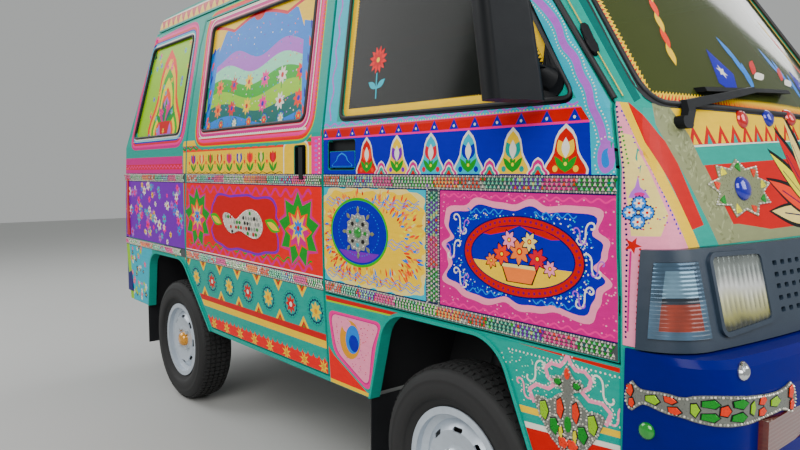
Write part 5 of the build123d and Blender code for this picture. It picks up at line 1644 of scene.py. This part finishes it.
def ornaments(heap, beads, flip):           # the crown, the bumper garland and the studs
    middle, foot = crown["middle"], crown["foot"]
    outline = smoothRing([(middle + x, foot + z) for x, z in crownHalf] + [(middle - x, foot + z) for x,
        z in reversed(crownHalf[1:-1])], 1)
    heap.plate(flankPoint, outline, 3.2, "lead", flip=flip)
    beads.follow(flankPoint, grown(outline, -3.5), 3.0, flip, closed=True)
    for k, (colour, x, z, rx, rz) in enumerate(crownStones):
        for side in (-1, 1):
            stone(heap, flankPoint, colour, middle + side * x, foot + z, rx, rz, k, 3.2, flip)
            beads.follow(flankPoint, oval(middle + side * x, foot + z, rx + 4, rz + 4, 16), 3.0, flip,
                closed=True)
    heap.plate(flankPoint, oval(middle, foot + 60, 9, 18, 12), 4.8, "green", 0.8, 3.0, flip=flip)
    heap.plate(flankPoint, oval(middle, foot + 172, 7, 13, 12), 4.8, "orange", 0.8, 3.0, flip=flip)
    band = smoothRing(garland, 1)
    heap.plate(bumperPoint, band, 2.4, "lead", flip=flip)
    makeFilm("garland_" + ("left" if flip else "right"), "body", band, [], [], bumperPoint, "bumper_front",
        groundColour="lead", lift=3.0, flip=flip, grid=14, material=tapeFoil)
    beads.follow(bumperPoint, [(a, z + (3.5 if z < 628 else -3.5)) for a, z in band], 3.2, flip,
        closed=True)
    for k, (colour, a, z, rx, rz) in enumerate(garlandStones):
        stone(heap, bumperPoint, colour, a, z, rx + 1, rz + 1, k + 20, 3.2, flip)
    heap.dome(bumperPoint, -732, 692, 15, 9, "silver", flip, 4)
    heap.dome(bumperPoint, -556, 562, 17, 9, "green", flip)
    # star on the nose, and a row of studs over it
    for k, (x, z, colour) in enumerate(((-321, 1168, "red"), (-202, 1177, "cobalt"), (-81, 1184, "red"))):
        heap.dome(nosePoint, x, z, 20, 12, colour, flip)
    ring = [(-382 + (x + 382) * 1.9, z) for x, z in star(-382, 1018, 64, 46, 9)]
    heap.plate(nosePoint, ring, 3.0, "silver", flip=flip)
    beads.follow(nosePoint, grown(ring, -4), 2.8, flip, closed=True)
    for k in range(9):
        t = 2 * math.pi * k / 9 + math.pi / 2
        colour = ("green", "lemon", "orange")[k % 3]
        heap.plate(nosePoint, star(-382 + 88 * math.cos(t), 1018 + 46 * math.sin(t), 12, 7, 3, t), 4.4,
            colour, 0.6, 2.8, flip=flip)
    heap.dome(nosePoint, -382, 1018, 26, 14, "cobalt", flip, foot=2.8)
    if not flip:                            # aerial base on the pillar
        heap.plate(flankPoint, smoothRing([(-352, 1358), (-366, 1360), (-382, 1336), (-408, 1296),
            (-402, 1286), (-390, 1294), (-372, 1322)], 1), 12, "navy", 3, flip=flip, kind=2)
    # leaf of mirror work on the sliding door
    leafRing = smoothRing([(930, 850), (960, 905), (1030, 922), (1100, 900), (1150, 868), (1210, 900),
        (1262, 892), (1250, 846), (1190, 812), (1120, 836), (1060, 818), (980, 806)], 2)
    heap.plate(flankPoint, leafRing, 3.2, "white", flip=flip)
    beads.follow(flankPoint, grown(leafRing, -4), 3.0, flip, closed=True)
    chance = random.Random(3)
    for k in range(15):
        for row in range(5):
            a, z = 946 + k * 21 + row % 2 * 10, 826 + row * 19
            if inside(grown(leafRing, -14), a, z):
                heap.plate(flankPoint, chip(a, z, 9.5, 8.5, k + row), 4.4,
                    chance.choice(("white", "green", "pewter", "black", "pewter", "red", "white")), 0.8,
                        3.0, flip=flip)
    # sliding door handle cover and lining
    lining(heap, (651, 721, 1023, 1140), -690.5, "black", flip)
    heap.box((-696.8, 665, 1029), (-678, 689, 1134), "black", flip)
    flatFloor = rect(651, 1023, 721, 1140)
    heap.plate(lambda a, z: Vector((-677, a, z)), rounded(flatFloor, 11), 0.8, "black", 0.2, 0.4, flip=flip,
        kind=2)


def lining(heap, place, skin, colour, flip):         # the walls of a handle pocket
    a0, a1, z0, z1 = place
    for lows, highs in (((a0, z0), (a0 + 1.2, z1)), ((a1 - 1.2, z0), (a1, z1)), ((a0, z0), (a1, z0 + 1.2)),
            ((a0, z1 - 1.2), (a1, z1))):
        heap.box((skin, lows[0], lows[1]), (-677, highs[0], highs[1]), colour, flip)


def doorOrnaments(heap, beads, flip):       # round medallion and the pull handle of the front door
    cx, cz = 368, 877
    heap.plate(flankPoint, star(cx, cz, 60, 52, 12), 3.0, "pewter", flip=flip)
    beads.follow(flankPoint, oval(cx, cz, 47, 47, 40), 3.0, flip, closed=True)
    beads.follow(flankPoint, oval(cx, cz, 24, 24, 24), 3.0, flip, closed=True)
    for k in range(8):
        t = 2 * math.pi * k / 8
        colour = ("green", "black", "cyan", "black")[k % 4]
        heap.plate(flankPoint, chip(cx + 36 * math.cos(t), cz + 36 * math.sin(t), 8, 7, k), 4.4, colour,
            0.8, 3.0, flip=flip)
        heap.plate(flankPoint, leafShape(cx + 56 * math.cos(t), cz + 56 * math.sin(t), 22, 12, t, 5), 2.6,
            "silver", 0.6, flip=flip)
    heap.dome(flankPoint, cx, cz, 17, 8, "green", flip, foot=3.0)
    lining(heap, (383, 522, 1061, 1149), -690.5, "cobalt", flip)
    paddle = rect(389, 1067, 516, 1115)
    heap.plate(lambda a, z: Vector((-689, a, z)), rounded(paddle, 6), 1.2, "cobalt", 1, 0.3, flip=flip,
        kind=3)
    arch = ogee(452, 1070, 104, 42)
    heap.plate(lambda a, z: Vector((-689, a, z)), arch, 1.5, "sky", 0.4, 1.1, flip=flip, kind=3)
    heap.plate(lambda a, z: Vector((-689, a, z)), grown(arch, -5), 1.8, "cobalt", 0.3, 1.4, flip=flip,
        kind=3)
    # the black floor behind the paddle is painted shade of the pocket's recess
    floor = rect(384, 1061, 521, 1149)
    heap.plate(lambda a, z: Vector((-677, a, z)), rounded(floor, 11), 0.7, "black", 0.2, 0.3, flip=flip,
        kind=2)


def tileBand(tiles, beads, ends, flip, upright=False):
    (a0, z0), (a1, z1) = ends
    if upright:
        rows, edges = [a0 + (a1 - a0) * share for share in (0.22, 0.41, 0.59, 0.78)], (a0 + 4, a1 - 4)
        for a in rows:
            tiles.follow(flankPoint, [(a, z0 + 6), (a, z1 - 6)], 0.9, flip)
        for a in edges:
            beads.follow(flankPoint, [(a, z0), (a, z1)], 0.9, flip)
        return
    for share in (0.27, 0.5, 0.73):
        z = z0 + (z1 - z0) * share
        tiles.follow(flankPoint, [(a0 + 4 + (6 if share == 0.5 else 0), z), (a1 - 4, z)], 0.9, flip)
    for z in (z0 + 4, z1 - 4):
        beads.follow(flankPoint, [(a0 + 2, z), (a1 - 2, z)], 0.9, flip)


tileRows = rowTree("tileRows", tilePalette, tapeFoil)
beadRows = rowTree("beadRows", [("pewter", "white"), ("white", "pewter")], tapeFoil)
tileLook = {"Spacing": 0.0062, "Size": (0.0053, 0.0053, 0.0016), "Sides": 3, "Top": 0.7,
    "Turn": math.pi / 6, "Alternate": math.pi, "Stretch": 0.085, "Seed": 4}
beadLook = {"Spacing": 0.0068, "Size": (0.0026, 0.0026, 0.0020), "Sides": 7, "Top": 0.5, "Alternate": 0.0,
    "Stretch": 0.1, "Seed": 2}
bodyHeap, bodyTiles, bodyBeads, bodyCord = Heap(), Trail(), Trail(), Trail()
screenRing = rounded([(-612, 1192), (-548, 1674), (548, 1674), (612, 1192)], 60)
bodyCord.follow(nosePoint, grown(screenRing, 3), 2.5, closed=True)
for side, flip in sides:
    doorHeap, doorTiles, doorBeads, doorCord = Heap(), Trail(), Trail(), Trail()
    for low, high in ((679, 716), (1008, 1047)):
        tileBand(doorTiles, doorBeads, ((-480 if low < 900 else -474, low), (545, high)), flip)
        tileBand(bodyTiles, bodyBeads, ((560, low), (1632 if low < 900 else 1606, high)), flip)
    tileBand(bodyTiles, bodyBeads, ((1640, 1008), (2420, 1047)), flip)
    tileBand(bodyTiles, bodyBeads, ((1700, 679), (2430, 713)), flip)
    tileBand(doorTiles, doorBeads, ((23, 717), (74, 1007)), flip, True)
    ornaments(bodyHeap, bodyBeads, flip)
    doorOrnaments(doorHeap, doorBeads, flip)
    doorCord.follow(flankPoint, grown(paneHole(doorWindow), 2), 2.0, flip, closed=True)
    bodyCord.follow(flankPoint, [(-456, 1197), (-292, 1424), (-82, 1712)], 2.0, flip)
    for pane in (slidingWindow, quarterWindow):
        bodyCord.follow(flankPoint, grown(paneHole(pane), 1), 1.0, flip, closed=True)
    body = "front_door_" + side
    grow(tileRows, "tiles_door_" + side, body, doorTiles.mesh("tiles"), tileLook)
    grow(beadRows, "beads_door_" + side, body, doorBeads.mesh("beads"), beadLook)
    grow(cordTree("sealCord_" + side, rubber), "seal_door_" + side, body, doorCord.mesh("seal"),
        {"Radius": 0.005})
    doorHeap.finish("ornaments_door_" + side, body, "enamel", stoneFinishes)
grow(tileRows, "tiles_body", "body", bodyTiles.mesh("tiles"), tileLook)
grow(beadRows, "beads_body", "body", bodyBeads.mesh("beads"), beadLook)
grow(cordTree("sealCord_body", rubber), "seal_body", "body", bodyCord.mesh("seal"),
    {"Radius": 0.006})
mast = Trail()
mast.follow(flankPoint, [(-470, 1197), (-382, 1322), (-311, 1424), (-108, 1712)], 9.0)
grow(cordTree("mastCord", plain("aerialMast", "#C8C46A", 0.3, 0.6)), "aerial_mast", "body",
    mast.mesh("mast"), {"Radius": 0.0018})
bodyHeap.finish("ornaments_body", "body", "enamel", stoneFinishes)
makeFilm("windscreen_seal", "body", grown(screenRing, 24), [screenRing], [], nosePoint, "front_panel",
    groundColour="black", lift=1.9, grid=60, material=rubber)
print("stage: tiles, beads, studs and seals")

# Tyres with tread and ribs, and the caps and nuts of the wheels
tyreProfile = [
    (52, 153), (-52, 153), (-55, 170), (-64, 184), (-70, 190), (-72, 190), (-76, 204), (-77.5, 214),
        (-77.2, 226), (-75, 236), (-76, 238), (-74.5, 242),
    (-70, 254), (-66, 260), (-58, 265), (-40, 269.5), (40, 269.5), (58, 265), (66, 260), (70, 254),
        (74.5, 242), (76, 238), (75, 236), (77.2, 226), (77.5, 214),
    (76, 204), (72, 190), (70, 190), (64, 184), (55, 170),
]
wheelPlaces = [("front", 600, 0), ("rear", 595, 1810)]
axleHeight, tyreSides = 276.5, 96
treadBlocks = blockTree()
treadRows = [(-47, 269.8), (-24, 272.8), (0, 272.8), (24, 272.8), (47, 269.8)]


def faceOutward(mesh):
    whole = bmesh.new()
    whole.from_mesh(mesh)
    bmesh.ops.recalc_face_normals(whole, faces=whole.faces)
    whole.to_mesh(mesh)
    whole.free()


def makeTyre(name, x, aft):
    verts, faces, n = [], [], len(tyreProfile)
    for k in range(tyreSides):
        t = 2 * math.pi * k / tyreSides
        verts += [((x + a) / 1000, (frontAxle + aft + r * math.cos(t)) / 1000,
            (axleHeight + r * math.sin(t)) / 1000) for a, r in tyreProfile]
    for k in range(tyreSides):
        for i in range(n):
            a, b, j = k * n, (k + 1) % tyreSides * n, (i + 1) % n
            faces.append((a + i, a + j, b + j, b + i))
    mesh = bpy.data.meshes.new("tyre_finished_" + name)
    mesh.from_pydata(verts, [], faces)
    faceOutward(mesh)
    mesh.polygons.foreach_set("use_smooth", [True] * len(mesh.polygons))
    mesh.materials.append(tyreRubber)
    handOver(inScene("tyre_finished_" + name, mesh), "wheel_" + name, "tyre_" + name)
    tread = Trail()
    for across, radius in treadRows:
        points, outs = [], []
        for k in range(145):
            t = 2 * math.pi * k / 144
            out = Vector((0, math.cos(t), math.sin(t)))
            lean = Vector((math.copysign(0.22, across) if abs(across) > 40 else 0, out.y,
                out.z)).normalized()
            points.append((Vector((x + across, frontAxle + aft, axleHeight)) + out * radius) / 1000)
            outs.append(lean)
        tread.space(points, outs)
    grow(treadBlocks, "tread_" + name, "wheel_" + name, tread.mesh("tread"),
        {"Count": 84, "Size": (0.0155, 0.019, 0.0060), "Slant": 0.30})


def makeWheelTrim(name, x, aft, cap):
    heap = Heap()
    outward = Vector((math.copysign(1, x), 0, 0))
    hub = Vector((x, frontAxle + aft, axleHeight)) / 1000
    face = hub + outward * 0.040
    heap.turned(face, outward, [(0, 36), (10, 34), (15, 28), (17, 18)] if cap == "silver" else [(0, 33),
        (14, 32), (24, 24), (28, 12)], cap, 1)
    for k in range(4):
        t = math.pi / 4 + math.pi / 2 * k
        spot = face + Vector((0, math.cos(t), math.sin(t))) * 0.050
        heap.turned(spot, outward, [(0, 10), (3, 10), (3.1, 8.6), (12, 8.6), (14, 6)], "silver", 4, 6)
    heap.finish("wheel_trim_" + name, "wheel_" + name, "rim_silver", stoneFinishes)


for axle, across, aft in wheelPlaces:
    for side, sign in (("right", -1), ("left", 1)):
        name = axle + "_" + side
        makeTyre(name, sign * across, aft)
        makeWheelTrim(name, sign * across, aft, "ochre" if axle == "rear" else "silver")
print("stage: wheels finished")

# Mirror glasses
def makeMirrorGlass(side, sign):
    alongFace, outFace = mirrorAxes()
    half = mirrorPlace["half"]
    rows = []
    for up, share in ((-0.6, 1), (0.4, 0.98)):
        row = []
        for a, z in rounded(rect(-half[0], -half[1], half[0], half[1]), 20):
            u, v = headPoint(a * share, z * share)
            spot = Vector(mirrorPlace["centre"]) + alongFace * u + outFace * (mirrorPlace["face"] + up) + Vector((0, frontAxle, v))
            row.append(Vector((spot.x * sign, spot.y, spot.z)) / 1000)
        rows.append(row)
    heap = Heap()
    heap.rings(rows, Vector((outFace.x * sign, outFace.y, 0)), "white", 4)
    heap.finish("mirror_glass_" + side, "front_door_" + side, "glass", stoneFinishes)


makeMirrorGlass("right", 1)
makeMirrorGlass("left", -1)
print("stage: mirrors")

# Seats, swelled as cloth over their foam; the plain seat solids are hidden
seatLook = {
    "across": (-330, 330), "half": 208, "pressure": 4.0, "voxel": 0.009, "cap": 0.020,
        "channels": (-92, 92), "channelDepth": 0.007,
    "cushion": [(112, 772), (104, 846), (132, 862), (300, 858), (490, 850), (488, 772)],
    "back": [(506, 800), (518, 872), (602, 1262), (622, 1282), (648, 1272), (636, 1180), (584, 872),
        (572, 800)],
}


def padMesh(name, profile, middle):
    verts, n = [], len(profile)
    for x in (middle - seatLook["half"], middle + seatLook["half"]):
        verts += [(x / 1000, (aft + frontAxle) / 1000, height / 1000) for aft, height in profile]
    faces = [tuple(range(n)), tuple(range(2 * n - 1, n - 1, -1))]
    faces += [(i, i + n, (i + 1) % n + n, (i + 1) % n) for i in range(n)]
    mesh = bpy.data.meshes.new(name)
    mesh.from_pydata(verts, [], faces)
    faceOutward(mesh)
    return mesh


def makePad(name, profile, middle):
    piece = inScene(name, padMesh(name, profile, middle))
    remesh = piece.modifiers.new("remesh", "REMESH")
    remesh.mode, remesh.voxel_size = "VOXEL", seatLook["voxel"]
    piece.data = evaluated(piece)
    piece.modifiers.clear()
    rest = [vertex.co.copy() for vertex in piece.data.vertices]
    cloth = piece.modifiers.new("cloth", "CLOTH")
    cloth.settings.use_pressure = True
    cloth.settings.uniform_pressure_force = seatLook["pressure"]
    cloth.settings.effector_weights.gravity = 0
    scene = bpy.context.scene
    for step in range(1, 21):
        scene.frame_set(step)
    swelled = evaluated(piece)
    piece.modifiers.clear()
    scene.frame_set(1)
    for vertex, start, end in zip(piece.data.vertices, rest, swelled.vertices):
        shift = end.co - start
        if shift.length > seatLook["cap"]:
            shift = shift.normalized() * seatLook["cap"]
        groove = sum(math.exp(-(((start.x * 1000 - middle - a) / 9) ** 2)) for a in seatLook["channels"])
        vertex.co = start + shift
        vertex.co -= end.normal * seatLook["channelDepth"] * groove
    finer = piece.modifiers.new("finer", "SUBSURF")
    finer.levels = finer.render_levels = 1
    piece.data = evaluated(piece)
    piece.modifiers.clear()
    piece.data.polygons.foreach_set("use_smooth", [True] * len(piece.data.polygons))
    piece.data.materials.clear()
    piece.data.materials.append(seatCloth)
    handOver(piece, "body")
    return piece


for number, middle in enumerate(seatLook["across"]):
    makePad("seat_cushion_%d" % (number + 1), seatLook["cushion"], middle)
    backrest = makePad("seat_back_%d" % (number + 1), seatLook["back"], middle)
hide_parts("seats")
print("stage: seats swelled")


# Floor and soft studio light
def makeStage():
    size = 14
    floor = bpy.data.meshes.new("floor")
    floor.from_pydata([(-size, -size, 0), (size, -size, 0), (size, size, 0), (-size, size, 0)], [],
        [(0, 1, 2, 3)])
    plate = bpy.data.objects.new("floor", floor)
    plate.data.materials.append(plain("paleFloor", "#B9BAB8", 0.5, scale=2.0, unevenness=0.03))
    bpy.context.scene.collection.objects.link(plate)


lights = [                                  # place, size, power, colour
    ((-4.5, -3.5, 4.2), 4.0, 330, (1.0, 0.98, 0.95)),
    ((1.5, -5.5, 3.6), 3.5, 210, (0.95, 0.98, 1.0)),
    ((-3.0, 4.5, 4.5), 4.0, 210, (1.0, 1.0, 1.0)),
    ((4.5, 1.0, 4.5), 4.0, 190, (1.0, 1.0, 1.0)),
]


def makeLights():
    for place, size, power, colour in lights:
        lamp = bpy.data.lights.new("softbox", "AREA")
        lamp.energy, lamp.size, lamp.color = power, size, colour
        holder = bpy.data.objects.new("softbox", lamp)
        holder.location = place
        holder.rotation_mode = "QUATERNION"
        holder.rotation_quaternion = (Vector((0, 0, 0.9)) - Vector(place)).to_track_quat("-Z", "Y")
        bpy.context.scene.collection.objects.link(holder)
    world = bpy.data.worlds.new("studio")
    world.use_nodes = True
    world.node_tree.nodes["Background"].inputs["Color"].default_value = (0.78, 0.80, 0.79, 1)
    world.node_tree.nodes["Background"].inputs["Strength"].default_value = 0.55
    bpy.context.scene.world = world


makeStage()
makeLights()
print("stage: floor and light")
